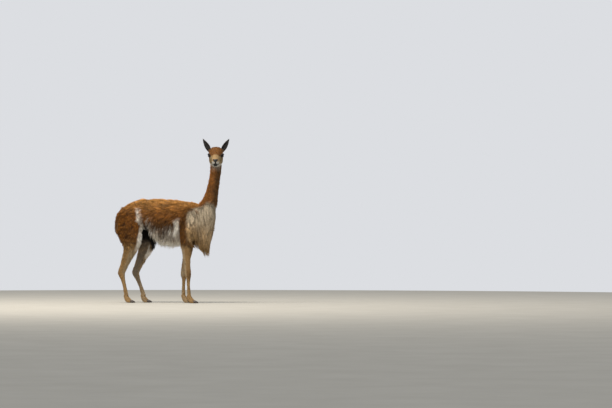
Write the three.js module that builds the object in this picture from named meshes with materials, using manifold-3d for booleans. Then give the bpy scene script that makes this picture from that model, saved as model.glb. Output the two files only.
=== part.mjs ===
// A standing vicuna at life size, as a still model divided into its body parts.
// Millimetres. +Z is up, +X is where the body faces and +Y is its left side.
// The body stands on four feet and the head is turned to look out over its right side.
import * as THREE from "three";
import { mergeVertices } from "three/addons/utils/BufferGeometryUtils.js";
import Module from "manifold-3d";

const wasm = await Module();
wasm.setup();

// Gap kept between parts that touch
const GAP = 0.3;

// Heights above the ground
const BACK = 881;
const WITHERS = 858;
const BELLY = 528;
const EYE_LEVEL = 1246;

// Lengths along the body, from mid trunk
const RUMP_END = -412;
const CHEST_END = 402;

// Cuts between the named lengths of the trunk, and the slanting one at the root of the neck
const LOIN_CUT = -150;
const GIRTH_CUT = 190;
const NECK_ROOT = [340, 0, 850];
const NECK_WAY = [0.72, 0, 0.69];
const DOWN = [0, 0, -1];

// The head's place between the eyes, the way it faces and how far its nose drops
const EYES_MIDDLE = [516, -116, EYE_LEVEL];
const HEAD_TURN = THREE.MathUtils.degToRad(-70);
const NOSE_DROP = THREE.MathUtils.degToRad(10);

// Coat, eye and nail colours
const COLOURS = {
  fawn: "#8f5c2c",
  pale: "#9c8c6e",
  shank: "#8c7350",
  face: "#a0875f",
  ear: "#35302f",
  eye: "#0d0a08",
  nail: "#2a2420",
};

// Seeded draw, the same every time
let seed = 20260;
function draw() {
  seed = (seed * 48271) % 2147483647;
  return seed / 2147483647;
}
const vary = (amount) => (draw() * 2 - 1) * amount;

const vector = (at) => new THREE.Vector3(...at);

// A closed geometry as a solid.
function solidOf(geometry) {
  const bare = new THREE.BufferGeometry();
  bare.setAttribute("position", geometry.getAttribute("position"));
  bare.setIndex(geometry.index);
  const merged = mergeVertices(bare, 1e-3);
  return new wasm.Manifold(
    new wasm.Mesh({
      numProp: 3,
      vertProperties: new Float32Array(merged.attributes.position.array),
      triVerts: new Uint32Array(merged.index.array),
    }),
  );
}

// A solid as a geometry.
function geometryOf(solid) {
  const mesh = solid.getMesh();
  const made = new THREE.BufferGeometry();
  made.setAttribute("position", new THREE.BufferAttribute(mesh.vertProperties, 3));
  made.setIndex(new THREE.BufferAttribute(mesh.triVerts, 1));
  made.computeVertexNormals();
  return made;
}

// The largest closed piece of a solid.
function largest(solid) {
  return solid.decompose().sort((a, b) => b.volume() - a.volume())[0];
}

function join(...solids) {
  return wasm.Manifold.union(solids.flat());
}

// A landmark section of a body: its centre, its half width across, its reach above and below
// (in front and behind on a limb), and how square its upper and lower halves are.
const section = (at, side, over, under, square = [2, 2]) => ({ at, side, over, under, square });

// A smooth closed body swept through landmark sections.
function loft(sections, { sides, rows, swell = 0, across = [0, 1, 0] }) {
  const curve = (points) => new THREE.CatmullRomCurve3(points, false, "catmullrom", 0.5);
  const centres = curve(sections.map((s) => vector(s.at)));
  const sizes = curve(sections.map((s) => new THREE.Vector3(s.side, s.over, s.under)));
  const squares = curve(sections.map((s) => new THREE.Vector3(...s.square, 0)));
  const tube = new THREE.CylinderGeometry(1, 1, 1, sides, rows);
  const spots = tube.getAttribute("position");
  for (let i = 0; i < spots.count; i++) {
    const part = THREE.MathUtils.clamp(0.5 - spots.getY(i), 0, 1);
    const size = sizes.getPoint(part);
    const square = squares.getPoint(part);
    const ahead = centres.getTangent(part);
    const up = ahead.clone().cross(vector(across)).normalize();
    const aside = up.clone().cross(ahead).normalize();
    const [x, y] = [spots.getX(i), spots.getZ(i)];
    const power = 2 / (y > 0 ? square.x : square.y);
    const bulge = (v) => Math.sign(v) * Math.abs(v) ** power;
    const reach = (y > 0 ? size.y : size.z) + swell;
    const spot = centres
      .getPoint(part)
      .addScaledVector(aside, bulge(x) * (size.x + swell))
      .addScaledVector(up, bulge(y) * reach);
    if (part === 0 || part === 1) spot.addScaledVector(ahead, part ? swell : -swell);
    spots.setXYZ(i, ...spot.toArray());
  }
  return solidOf(tube);
}

// The pieces of a solid behind and ahead of a plane, with the gap between them.
function partAt(solid, at, along) {
  const way = vector(along).normalize();
  const offset = way.dot(vector(at));
  const back = way.clone().negate();
  return [
    solid.trimByPlane(back.toArray(), -(offset - GAP / 2)),
    solid.trimByPlane(way.toArray(), offset + GAP / 2),
  ];
}

// Trunk
const TRUNK = [
  section([RUMP_END - 6, 0, 700], 26, 34, 40),
  section([RUMP_END + 10, 0, 702], 70, 72, 88),
  section([-362, 0, 706], 98, 104, 112, [2.1, 2.1]),
  section([-300, 0, 712], 116, 136, 118, [2.2, 2.1]),
  section([-218, 0, 716], 124, BACK - 721, 84, [2.3, 2]),
  section([-114, 0, 712], 128, BACK - 712, 90, [2.3, 2]),
  section([-50, 0, 709], 132, BACK - 2 - 709, 138, [2.3, 2]),
  section([16, 0, 705], 134, BACK - 5 - 705, 162, [2.3, 2]),
  section([100, 0, 700], 134, BACK - 12 - 700, 700 - BELLY, [2.3, 2]),
  section([200, 0, 700], 124, WITHERS + 2 - 700, 700 - BELLY, [2.2, 2]),
  section([290, 0, 706], 108, WITHERS - 8 - 706, 158, [2.1, 2]),
  section([352, 0, 716], 86, 124, 134),
  section([CHEST_END - 8, 0, 726], 56, 84, 92),
  section([CHEST_END + 8, 0, 730], 20, 36, 38),
];
const TRUNK_MESH = { sides: 24, rows: 18 };

// Neck, from inside the chest up to the back of the head
const NECK = [
  section([318, 0, 706], 82, 70, 92),
  section([362, 0, 776], 74, 74, 102),
  section([404, -1, 850], 59, 60, 80),
  section([434, -4, 930], 49, 52, 57),
  section([455, -10, 1024], 45, 45, 48),
  section([469, -18, 1100], 44, 43, 48),
  section([478, -28, 1165], 45, 45, 48),
  section([486, -42, 1218], 44, 46, 42),
];
const NECK_MESH = { sides: 14, rows: 14 };

// Tail, hanging close behind the rump
const TAIL = [
  section([-366, 0, 800], 22, 15, 15),
  section([-400, 0, 768], 28, 18, 18),
  section([-424, 0, 716], 32, 16, 18),
  section([-430, 0, 664], 28, 14, 16),
  section([-426, 0, 630], 16, 9, 10),
  section([-422, 0, 614], 5, 4, 4),
];
const TAIL_MESH = { sides: 10, rows: 7 };

// Hanging locks. A tier is a row of locks with roots at one height, and each row hangs over the next.
// For the chest: height of the roots, how far round to each side they go in degrees, how many there
// are, the heights of the tips in the middle and at the sides, and how far the locks stand out.
const BIB_TIERS = [
  { root: 792, round: 46, count: 5, middle: 640, side: 645, lift: 36 },
  { root: 752, round: 52, count: 5, middle: 572, side: 590, lift: 38 },
  { root: 706, round: 56, count: 6, middle: 505, side: 530, lift: 22 },
  { root: 660, round: 58, count: 7, middle: 436, side: 492, lift: 14 },
  { root: 618, round: 60, count: 7, middle: 384, side: 456, lift: 12 },
];
const BIB_LOCK = { half: 22, thick: 7, axis: 300, back: 34 };
// For each flank: height of the roots, first and last place along the body, how many there are,
// how long they are and how far they stand out.
const FLANK_TIERS = [
  { root: 672, from: -98, to: 166, count: 8, length: 114, lift: 13 },
  { root: 602, from: -62, to: 150, count: 7, length: 102, lift: 15 },
];
const FLANK_LOCK = { half: 22, thick: 7, backward: 0.22, inward: 0.28 };
const BELLY_LOCKS = { places: [-34, 28, 88, 144], asides: [-46, 0, 46], length: 48, half: 28, thick: 8 };
// How far down each free point of a belly lock is, as a share of its length, and how far back
const BELLY_FALL = [[0.3, 2], [0.65, 8], [1, 16]];
const TAIL_LOCKS = { levels: [716, 668], round: [-66, 0, 66], length: 90, half: 16, thick: 5, lift: 8 };
const TAIL_AXIS = -426;

// How far outside the body the line that finds a lock's root starts
const OUTSIDE = 400;

// Where a straight line from one point to another first meets a body, and the way out of it there.
const caster = new THREE.Raycaster();
function rootOn(body, from, to) {
  caster.set(vector(from), vector(to).sub(vector(from)).normalize());
  const [hit] = caster.intersectObject(body);
  return { at: hit.point, out: hit.face.normal.clone() };
}

// A flat, tapered lock. Its root is sunk in the body and its three free points follow the coat.
const TAPER = [0.8, 1, 0.75, 0.1];
function lock(points, flat, half, thick) {
  const sections = points.map((at, i) => {
    return section(at.toArray(), half * TAPER[i], thick * TAPER[i], thick * TAPER[i]);
  });
  return loft(sections, { sides: 4, rows: 3, across: flat.toArray() });
}

// How deep a lock's root is sunk, on the body and on the thin tail
const SUNK = 16;
const TAIL_SUNK = 8;

// A lock that leaves the body, stands off it by its lift and hangs along the given fall.
function hangingLock(root, fall, lift, half, thick, deep = SUNK) {
  const away = new THREE.Vector3(root.out.x, root.out.y, 0).normalize();
  const point = (down, off) => root.at.clone().addScaledVector(fall, down).addScaledVector(away, off);
  const points = [
    root.at.clone().addScaledVector(root.out, -deep),
    point(0.2, lift * 0.75),
    point(0.62, lift),
    point(1, lift * 0.7),
  ];
  return lock(points, away.clone().cross(fall).normalize(), half, thick);
}

// The long locks of the chest, tier over tier, longest in the middle.
function bib(body) {
  const locks = BIB_TIERS.flatMap((tier, row) => {
    return Array.from({ length: tier.count }, (_, i) => {
      const share = tier.count > 1 ? (2 * i) / (tier.count - 1) - 1 : 0;
      const turn = THREE.MathUtils.degToRad(share * tier.round + vary(2));
      const height = tier.root + vary(6);
      const far = [BIB_LOCK.axis + OUTSIDE * Math.cos(turn), OUTSIDE * Math.sin(turn), height];
      const root = rootOn(body, far, [BIB_LOCK.axis, 0, height]);
      const tip = THREE.MathUtils.lerp(tier.middle, tier.side, Math.abs(share) ** 1.5) + vary(9);
      const back = row > 2 ? BIB_LOCK.back * Math.abs(share) : 0;
      const fall = new THREE.Vector3(-back, 0, tip - root.at.z);
      return hangingLock(root, fall, tier.lift + vary(3), BIB_LOCK.half, BIB_LOCK.thick);
    });
  });
  return join(locks);
}

// The hanging fringe of both flanks and the belly.
function skirt(body) {
  const locks = [];
  for (const side of [-1, 1]) {
    for (const tier of FLANK_TIERS) {
      for (let i = 0; i < tier.count; i++) {
        const x = THREE.MathUtils.lerp(tier.from, tier.to, i / (tier.count - 1)) + vary(5);
        const height = tier.root + vary(8);
        const root = rootOn(body, [x, side * OUTSIDE, height], [x, 0, height]);
        const length = tier.length + vary(9);
        const { backward, inward, half, thick } = FLANK_LOCK;
        const fall = new THREE.Vector3(-backward, -side * inward, -1).multiplyScalar(length);
        locks.push(hangingLock(root, fall, tier.lift, half, thick));
      }
    }
  }
  for (const x of BELLY_LOCKS.places) {
    for (const y of BELLY_LOCKS.asides) {
      const root = rootOn(body, [x, y, BELLY - OUTSIDE], [x, y, BELLY]);
      const drop = (down, back) => root.at.clone().add(new THREE.Vector3(-back, 0, -down));
      const length = BELLY_LOCKS.length + vary(6);
      const points = [drop(-SUNK, 0), ...BELLY_FALL.map(([down, back]) => drop(length * down, back))];
      locks.push(lock(points, new THREE.Vector3(1, 0, 0), BELLY_LOCKS.half, BELLY_LOCKS.thick));
    }
  }
  return join(locks);
}

// The hair of the tail, hanging on both sides of it and behind.
function tailHair(core) {
  const locks = TAIL_LOCKS.levels.flatMap((level) => {
    return TAIL_LOCKS.round.map((degrees) => {
      const turn = THREE.MathUtils.degToRad(180 + degrees + vary(6));
      const middle = new THREE.Vector3(TAIL_AXIS, 0, level);
      const outward = new THREE.Vector3(Math.cos(turn), Math.sin(turn), 0);
      const far = middle.clone().addScaledVector(outward, OUTSIDE);
      const root = rootOn(core, far.toArray(), middle.toArray());
      const fall = new THREE.Vector3(0, 0, -TAIL_LOCKS.length + vary(6));
      return hangingLock(root, fall, TAIL_LOCKS.lift, TAIL_LOCKS.half, TAIL_LOCKS.thick, TAIL_SUNK);
    });
  });
  return join(locks);
}

// Limbs. A joint has its place on the right limb, and how far along the body the left one stands
// from it. A shape row has a bone, how far down it, the half width, the reach in front and behind,
// and a shift forward.
const FORE = {
  name: "fore",
  parts: ["upper_arm", "forearm"],
  cuts: ["elbow", "knee"],
  joints: {
    shoulder: { at: [296, 74, 790], step: 0 },
    elbow: { at: [230, 94, 520], step: -36 },
    knee: { at: [248, 79, 248], step: -102 },
    fetlock: { at: [256, 77, 84], step: -113 },
  },
  shape: [
    ["shoulder", "elbow", 0, 30, 34, 40, 0],
    ["shoulder", "elbow", 0.25, 44, 64, 74, -2],
    ["shoulder", "elbow", 0.55, 50, 74, 84, 8],
    ["shoulder", "elbow", 0.85, 44, 52, 62, 4],
    ["elbow", "knee", 0.1, 37, 44, 48, 2],
    ["elbow", "knee", 0.4, 31, 38, 40, 2],
    ["elbow", "knee", 0.75, 26, 33, 34, -2],
    ["elbow", "knee", 0.95, 27, 31, 31, 0],
    ["knee", "fetlock", 0.08, 26, 29, 30, 0],
    ["knee", "fetlock", 0.26, 19, 20, 21, 2],
    ["knee", "fetlock", 0.6, 15, 16, 17, 0],
    ["knee", "fetlock", 1, 19, 18, 18, 0],
    ["knee", "fetlock", 1.15, 17, 16, 17, 4],
  ],
};
const HIND = {
  name: "hind",
  parts: ["thigh", "gaskin"],
  cuts: ["stifle", "hock"],
  joints: {
    hip: { at: [-268, 72, 742], step: 0 },
    stifle: { at: [-246, 94, 530], step: 60 },
    hock: { at: [-362, 76, 262], step: 65 },
    fetlock: { at: [-324, 75, 84], step: 92 },
  },
  shape: [
    ["hip", "stifle", 0, 42, 50, 70, 0],
    ["hip", "stifle", 0.25, 60, 100, 98, -6],
    ["hip", "stifle", 0.6, 60, 112, 120, -26],
    ["hip", "stifle", 1, 52, 84, 104, -10],
    ["stifle", "hock", 0.3, 42, 54, 82, 14],
    ["stifle", "hock", 0.58, 34, 48, 48, 0],
    ["stifle", "hock", 0.82, 28, 42, 34, -4],
    ["stifle", "hock", 1, 26, 34, 36, 0],
    ["hock", "fetlock", 0.14, 24, 30, 32, -4],
    ["hock", "fetlock", 0.36, 18, 21, 22, -2],
    ["hock", "fetlock", 0.72, 16, 18, 18, 0],
    ["hock", "fetlock", 1, 20, 19, 20, 0],
    ["hock", "fetlock", 1.15, 18, 17, 18, 4],
  ],
};
const LIMB_MESH = { sides: 12, rows: 20 };

function stance({ joints }, side) {
  const placed = Object.entries(joints).map(([name, { at: [x, y, z], step }]) => {
    return [name, [x + (side > 0 ? step : 0), side * y, z]];
  });
  return Object.fromEntries(placed);
}

function limbSections(joints, shape) {
  return shape.map(([from, to, part, half, front, behind, shift]) => {
    const at = vector(joints[from]).lerp(vector(joints[to]), part);
    at.x += shift;
    return section(at.toArray(), half, front, behind);
  });
}

// One of a foot's two toes: a soft pad that is flat on the ground, and a nail over its tip.
const TOE = { apart: 13, splay: 5, length: 78, root: 70, top: 62 };
const CLAW_MESH = { sides: 6, rows: 3 };
function toe([x, y], way) {
  const row = (ahead, height, aside) => [x + ahead, y + way * (TOE.apart + aside * TOE.splay), height];
  const pad = [
    section(row(-8, TOE.root, -0.6), 9, 13, 13),
    section(row(4, 50, -0.3), 12, 17, 20),
    section(row(18, 28, 0), 13.5, 20, 24),
    section(row(34, 14, 0.5), 14, 18, 22),
    section(row(50, 10, 0.9), 12, 12, 16),
    section(row(62, 8, 1.1), 7, 5, 10),
  ];
  const claw = [
    section(row(42, 16, 0.7), 8, 9, 9),
    section(row(54, 12, 1), 9.5, 8.5, 10),
    section(row(68, 7, 1.3), 7.5, 6.5, 8),
    section(row(TOE.length, 4, 1.5), 3, 2.5, 4),
  ];
  const onGround = (solid) => solid.trimByPlane([0, 0, 1], 0);
  return {
    pad: onGround(loft(pad, { sides: 7, rows: 4 })),
    claw: onGround(loft(claw, CLAW_MESH)),
    clawRoom: loft(claw, { ...CLAW_MESH, swell: GAP }),
  };
}

// Head, in its own frame: +X to the nose, +Y to its left, +Z up, from the middle between the eyes
const HEAD = [
  section([-100, 0, -10], 18, 20, 22),
  section([-90, 0, -12], 44, 46, 50),
  section([-66, 0, -14], 57, 70, 70, [2.2, 2.4]),
  section([-36, 0, -16], 61, 82, 84, [2.3, 2.9]),
  section([-8, 0, -18], 60, 80, 84, [2.3, 3]),
  section([18, 0, -20], 54, 66, 78, [2.2, 2.8]),
  section([44, 0, -26], 42, 50, 71, [2.1, 2.5]),
  section([70, 0, -33], 34, 41, 63, [2.2, 2.3]),
  section([92, 0, -40], 31, 37, 55, [2.3, 2.2]),
  section([108, 0, -46], 28, 32, 45, [2.3, 2.2]),
  section([118, 0, -50], 18, 22, 28),
  section([121, 0, -51], 7, 9, 11),
];
const HEAD_MESH = { sides: 18, rows: 16 };
const EYE = { radius: 19.5, at: [8, 47, 0], brow: 5, opening: [18.5, 17.5, 15] };
const LID = { reach: 18, height: 15, thick: 2.6, over: 1.5, forward: 0.42 };
const MOUTH = { front: [126, 0, -57], corner: [62, 0, -62], jaw: [-62, 0, -92], parted: 5 };
const NOSTRIL = { at: [113, 12, -32], half: [12, 3.6, 11], slant: 0.75 };
const LIP_CLEFT = { at: [121, 0, -49], half: [7, 1.5, 8] };
const EAR = { at: [-40, 50, 32], lean: [-30, 54, 80], length: 106, half: 24 };

// From the head's own frame to the body's
const headFrame = new THREE.Matrix4()
  .makeTranslation(...EYES_MIDDLE)
  .multiply(new THREE.Matrix4().makeRotationZ(HEAD_TURN))
  .multiply(new THREE.Matrix4().makeRotationY(NOSE_DROP));
const onHead = (solid) => solid.transform(headFrame.toArray());

// A ball with three half sizes, tipped about its long axis and put in place.
function ball(half, at, { tip = 0, parts = [16, 10] } = {}) {
  const shape = new THREE.SphereGeometry(1, ...parts);
  shape.scale(...half);
  shape.rotateX(tip);
  shape.translate(...at);
  return solidOf(shape);
}

const mirrored = ([x, y, z], side) => [x, side * y, z];

// The rim of a lid, an arch from corner to corner of the eye that lies on the eyeball.
function lid(side, upper) {
  const outward = new THREE.Vector3(LID.forward, side, 0).normalize();
  const along = new THREE.Vector3(1, -LID.forward * side, 0).normalize();
  const radius = EYE.radius + LID.over;
  const steps = 6;
  const rim = Array.from({ length: steps + 1 }, (_, i) => {
    const turn = (Math.PI * i) / steps;
    const a = LID.reach * Math.cos(turn);
    const b = (upper ? 1 : -1) * LID.height * Math.sin(turn);
    const at = vector(mirrored(EYE.at, side))
      .addScaledVector(along, a)
      .addScaledVector(outward, Math.sqrt(radius ** 2 - a ** 2 - b ** 2));
    at.z += b;
    const thick = LID.thick * (0.6 + 0.4 * Math.sin(turn));
    return section(at.toArray(), thick, thick, thick);
  });
  return loft(rim, { sides: 4, rows: 6, across: outward.toArray() });
}

// An ear: a leaf whose front is hollowed into a cup.
function ear(side) {
  const base = vector(mirrored(EAR.at, side));
  const reach = vector(mirrored(EAR.lean, side)).setLength(EAR.length);
  const along = (part, ahead = 0) => {
    return base.clone().addScaledVector(reach, part).add(new THREE.Vector3(ahead, 0, 0)).toArray();
  };
  const leaf = [
    section(along(-0.12), 13, 12, 12),
    section(along(0.1), 19, 13, 14),
    section(along(0.35), EAR.half, 11, 13),
    section(along(0.62), 17, 8, 10),
    section(along(0.85), 9, 5, 6),
    section(along(1), 2, 1.5, 1.5),
  ];
  const cup = [
    section(along(0.12, 16), 9, 9, 9),
    section(along(0.3, 15), 17, 11, 12),
    section(along(0.55, 13), 15, 9, 10),
    section(along(0.78, 10), 9, 6, 7),
    section(along(0.95, 8), 2.5, 3, 3),
  ];
  return loft(leaf, { sides: 10, rows: 7 }).subtract(loft(cup, { sides: 8, rows: 5 }));
}

function buildSkull() {
  let skull = loft(HEAD, HEAD_MESH);
  for (const side of [-1, 1]) {
    const eye = mirrored(EYE.at, side);
    const brow = EYE.radius + EYE.brow;
    const browAt = [eye[0] - 3, eye[1] - side * 3, 1];
    const openingAt = [eye[0] + 5, eye[1] + side * 14, 0];
    skull = join(skull, ball([brow, brow, brow], browAt, { parts: [10, 7] }));
    skull = skull.subtract(ball(EYE.opening, openingAt, { parts: [10, 6] }));
    skull = join(skull, lid(side, true), lid(side, false));
    const socket = EYE.radius + GAP;
    skull = skull.subtract(ball([socket, socket, socket], eye, { parts: [12, 8] }));
    const nostrilAt = mirrored(NOSTRIL.at, side);
    skull = skull.subtract(ball(NOSTRIL.half, nostrilAt, { tip: side * NOSTRIL.slant, parts: [8, 6] }));
  }
  return skull.subtract(ball(LIP_CLEFT.half, LIP_CLEFT.at, { parts: [8, 6] }));
}

// The head and lower jaw: parted by a thin cut from the lips back under the cheek, wider at the lips.
function partJaw(skull) {
  const acrossHead = new THREE.Vector3(0, 1, 0);
  const upward = (from, to) => acrossHead.clone().cross(vector(to).sub(vector(from))).toArray();
  const [front, corner, back] = [MOUTH.front, MOUTH.corner, MOUTH.jaw];
  const lowerFront = [front[0], 0, front[2] - MOUTH.parted];
  const ahead = (solid) => solid.trimByPlane([1, 0, 0], corner[0]);
  const behind = (solid) => solid.trimByPlane([-1, 0, 0], -corner[0]);
  const [jawRear, headRear] = partAt(skull, corner, upward(corner, back));
  const [, muzzle] = partAt(skull, corner, upward(front, corner));
  const [chin] = partAt(skull, corner, upward(lowerFront, corner));
  return [join(ahead(muzzle), behind(headRear)), join(ahead(chin), behind(jawRear))];
}

// Assembly
const model = new THREE.Group();
function add(name, solid, colour, roughness = 0.9) {
  const material = new THREE.MeshStandardMaterial({ color: COLOURS[colour], roughness, metalness: 0 });
  const mesh = new THREE.Mesh(geometryOf(largest(solid)), material);
  mesh.name = name;
  model.add(mesh);
}

const trunk = loft(TRUNK, TRUNK_MESH);
const trunkRoom = loft(TRUNK, { ...TRUNK_MESH, swell: GAP });
const trunkSurface = new THREE.Mesh(geometryOf(trunk));
const tailCore = loft(TAIL, TAIL_MESH);
const tailRoom = loft(TAIL, { ...TAIL_MESH, swell: GAP });

// Limbs
const limbRooms = [];
for (const side of [-1, 1]) {
  for (const kind of [FORE, HIND]) {
    const joints = stance(kind, side);
    const sections = limbSections(joints, kind.shape);
    const room = loft(sections, { ...LIMB_MESH, swell: GAP });
    const [upper, rest] = partAt(loft(sections, LIMB_MESH), joints[kind.cuts[0]], DOWN);
    const [middle, lower] = partAt(rest, joints[kind.cuts[1]], DOWN);
    const toes = [-side, side].map((way) => toe(joints.fetlock, way));
    const claws = toes.map((each) => each.clawRoom);
    const [cannon, foot] = partAt(join(lower, toes.map((each) => each.pad)), [0, 0, TOE.top], DOWN);
    const name = `${side > 0 ? "left" : "right"}_${kind.name}`;
    add(`${name}_${kind.parts[0]}`, upper.subtract(trunkRoom), "fawn");
    add(`${name}_${kind.parts[1]}`, middle.subtract(trunkRoom), "shank");
    add(`${name}_cannon`, cannon, "shank");
    for (const [i, place] of ["inner", "outer"].entries()) {
      const [, ownSide] = partAt(foot, joints.fetlock, [0, i ? side : -side, 0]);
      add(`${name}_${place}_toe`, ownSide.subtract(claws[i]), "shank");
      add(`${name}_${place}_nail`, toes[i].claw, "nail", 0.4);
    }
    limbRooms.push(room);
  }
}
const limbRoom = join(limbRooms);

// Trunk, neck and tail
const [rump, foreTrunk] = partAt(trunk, [LOIN_CUT, 0, 0], [1, 0, 0]);
const [barrel, chestCore] = partAt(foreTrunk, [GIRTH_CUT, 0, 0], [1, 0, 0]);
const neckWhole = loft(NECK, NECK_MESH);
const [chest, neck] = partAt(join(chestCore, neckWhole), NECK_ROOT, NECK_WAY);
const between = (solid) => {
  return partAt(partAt(solid, [LOIN_CUT, 0, 0], [1, 0, 0])[1], [GIRTH_CUT, 0, 0], [1, 0, 0])[0];
};
const neckRoom = partAt(loft(NECK, { ...NECK_MESH, swell: GAP }), NECK_ROOT, NECK_WAY)[1];
const bibLocks = bib(trunkSurface).subtract(join(limbRoom, neckRoom));
const skirtLocks = between(skirt(trunkSurface)).subtract(limbRoom);
const tailLocks = tailHair(new THREE.Mesh(geometryOf(tailCore))).subtract(trunkRoom);

add("rump", rump.subtract(tailRoom), "fawn");
add("barrel", join(barrel, skirtLocks), "fawn");
add("chest", join(chest, bibLocks.trimByPlane([1, 0, 0], GIRTH_CUT + GAP)), "pale");
add("tail", join(tailCore, tailLocks), "fawn");

// Head
const headRoom = onHead(loft(HEAD, { ...HEAD_MESH, swell: GAP }));
const [head, jaw] = partJaw(buildSkull());
add("neck", neck.subtract(headRoom), "fawn");
add("head", onHead(head), "fawn");
add("lower_jaw", onHead(jaw), "face");
for (const side of [-1, 1]) {
  const handed = side > 0 ? "left" : "right";
  const eye = ball([EYE.radius, EYE.radius, EYE.radius], mirrored(EYE.at, side), { parts: [12, 8] });
  add(`${handed}_eye`, onHead(eye), "eye", 0.1);
  add(`${handed}_ear`, onHead(ear(side)).subtract(headRoom), "ear");
}

// The model stands on its feet with its origin under the middle of its box.
const box = new THREE.Box3().setFromObject(model);
const middle = box.getCenter(new THREE.Vector3());
model.position.set(-middle.x, -middle.y, -box.min.z);

export default model;
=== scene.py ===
# %% [markdown]
# # A standing vicuna
#
# The body is one skin, lofted through landmark sections and melted together. Its coat is many
# thousand thin tufts of solid mesh that grow from the skin. Skin and coat share one set of
# markings, worked out from where a point lies on the body.
#
# Body places below are millimetres, with +X where the body faces, +Y its left and +Z up.

import math

import bmesh
import bpy
import numpy as np
from mathutils import Matrix, Vector, noise
from mathutils.kdtree import KDTree


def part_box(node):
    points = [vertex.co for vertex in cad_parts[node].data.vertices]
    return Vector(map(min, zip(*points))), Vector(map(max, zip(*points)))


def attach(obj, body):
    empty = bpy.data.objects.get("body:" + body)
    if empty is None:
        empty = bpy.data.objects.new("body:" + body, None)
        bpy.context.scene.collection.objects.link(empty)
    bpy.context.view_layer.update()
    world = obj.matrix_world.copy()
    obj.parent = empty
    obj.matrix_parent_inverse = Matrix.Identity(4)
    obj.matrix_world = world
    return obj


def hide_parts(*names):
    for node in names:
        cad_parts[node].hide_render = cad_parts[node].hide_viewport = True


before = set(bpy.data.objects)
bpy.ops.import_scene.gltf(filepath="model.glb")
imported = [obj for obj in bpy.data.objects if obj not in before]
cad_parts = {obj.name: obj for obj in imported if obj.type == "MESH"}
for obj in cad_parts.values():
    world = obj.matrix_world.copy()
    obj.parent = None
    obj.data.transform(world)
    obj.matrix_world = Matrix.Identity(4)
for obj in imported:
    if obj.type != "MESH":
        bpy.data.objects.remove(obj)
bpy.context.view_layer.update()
MM = 0.001
rng = np.random.default_rng(7)
print("frame nodes:", len(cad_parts))

# %% [markdown]
# ## Where the body stands
#
# The middle of both eyeballs is a point that the frame and the tables below share, so it gives
# the step from body millimetres to the frame's metres.

# %% Places
# The zero of the head's own frame, a little behind the eyeballs, and how far the head is turned
# to the right and the nose dipped
EYES_MIDDLE = np.array([516.0, -116.0, 1246.0])
HEAD_TURN = math.radians(-70)
NOSE_DROP = math.radians(10)
EYE_RADIUS = 19.5
# The middle of the left eyeball in the head's own frame
EYE_AT = np.array([8.0, 47.0, 0.0])

head_turn = Matrix.Rotation(HEAD_TURN, 3, "Z") @ Matrix.Rotation(NOSE_DROP, 3, "Y")
HEAD_AXES = np.array(head_turn)


def from_head(places):
    """Body places of points in the head's own frame: +X to the nose, +Y to its left, +Z up."""
    return np.asarray(places, float) @ HEAD_AXES.T + EYES_MIDDLE


def to_head(places):
    return (np.asarray(places, float) - EYES_MIDDLE) @ HEAD_AXES


def eye_at(side):
    return EYE_AT * [1, side, 1]


eye_corners = np.array([corner[:] for node in ("left_eye", "right_eye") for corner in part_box(node)])
eyes_here = from_head((eye_at(1) + eye_at(-1)) / 2)
OFFSET = eye_corners.mean(0) - eyes_here * MM


def placed(places):
    """Frame metres of points in body millimetres."""
    return np.asarray(places, float) * MM + OFFSET


print("body place 0, 0, 0 lies at", OFFSET.round(4))

# %% [markdown]
# ## Landmark sections
#
# A section has a centre, a half width across, a reach above and below (in front and behind on a
# limb) and how square its upper and lower halves are. Each body form is swept through its own.

# %% Trunk, neck, tail and head
# Heights of the top and bottom line, and the places of both ends along the body
BACK, WITHERS, BELLY = 881, 858, 528
RUMP_END, CHEST_END = -412, 402


def section(at, side, over, under, square=(2, 2)):
    return (*at, side, over, under, *square)


TRUNK = [
    section((RUMP_END - 6, 0, 700), 26, 34, 40),
    section((RUMP_END + 10, 0, 702), 70, 72, 88),
    section((-362, 0, 706), 98, 104, 112, (2.1, 2.1)),
    section((-300, 0, 712), 116, 136, 118, (2.2, 2.1)),
    section((-218, 0, 716), 124, BACK - 721, 84, (2.3, 2)),
    section((-114, 0, 712), 128, BACK - 712, 90, (2.3, 2)),
    section((-50, 0, 709), 132, BACK - 2 - 709, 138, (2.3, 2)),
    section((16, 0, 705), 134, BACK - 5 - 705, 162, (2.3, 2)),
    section((100, 0, 700), 134, BACK - 12 - 700, 700 - BELLY, (2.3, 2)),
    section((200, 0, 700), 124, WITHERS + 2 - 700, 700 - BELLY, (2.2, 2)),
    section((290, 0, 706), 108, WITHERS - 8 - 706, 158, (2.1, 2)),
    section((352, 0, 716), 86, 124, 134),
    section((CHEST_END - 8, 0, 726), 56, 84, 92),
    section((CHEST_END + 8, 0, 730), 20, 36, 38),
]
NECK = [
    section((318, 0, 706), 82, 70, 92),
    section((362, 0, 776), 74, 74, 102),
    section((404, -1, 850), 59, 60, 80),
    section((434, -4, 930), 49, 52, 57),
    section((456, -10, 1024), 47, 46, 49),
    section((471, -17, 1100), 47, 45, 50),
    section((480, -27, 1165), 48, 47, 50),
    section((486, -42, 1218), 44, 46, 42),
]
TAIL = [
    section((-366, 0, 800), 22, 15, 15),
    section((-400, 0, 768), 28, 18, 18),
    section((-424, 0, 716), 32, 16, 18),
    section((-430, 0, 664), 28, 14, 16),
    section((-426, 0, 630), 16, 9, 10),
    section((-422, 0, 614), 5, 4, 4),
]
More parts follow.
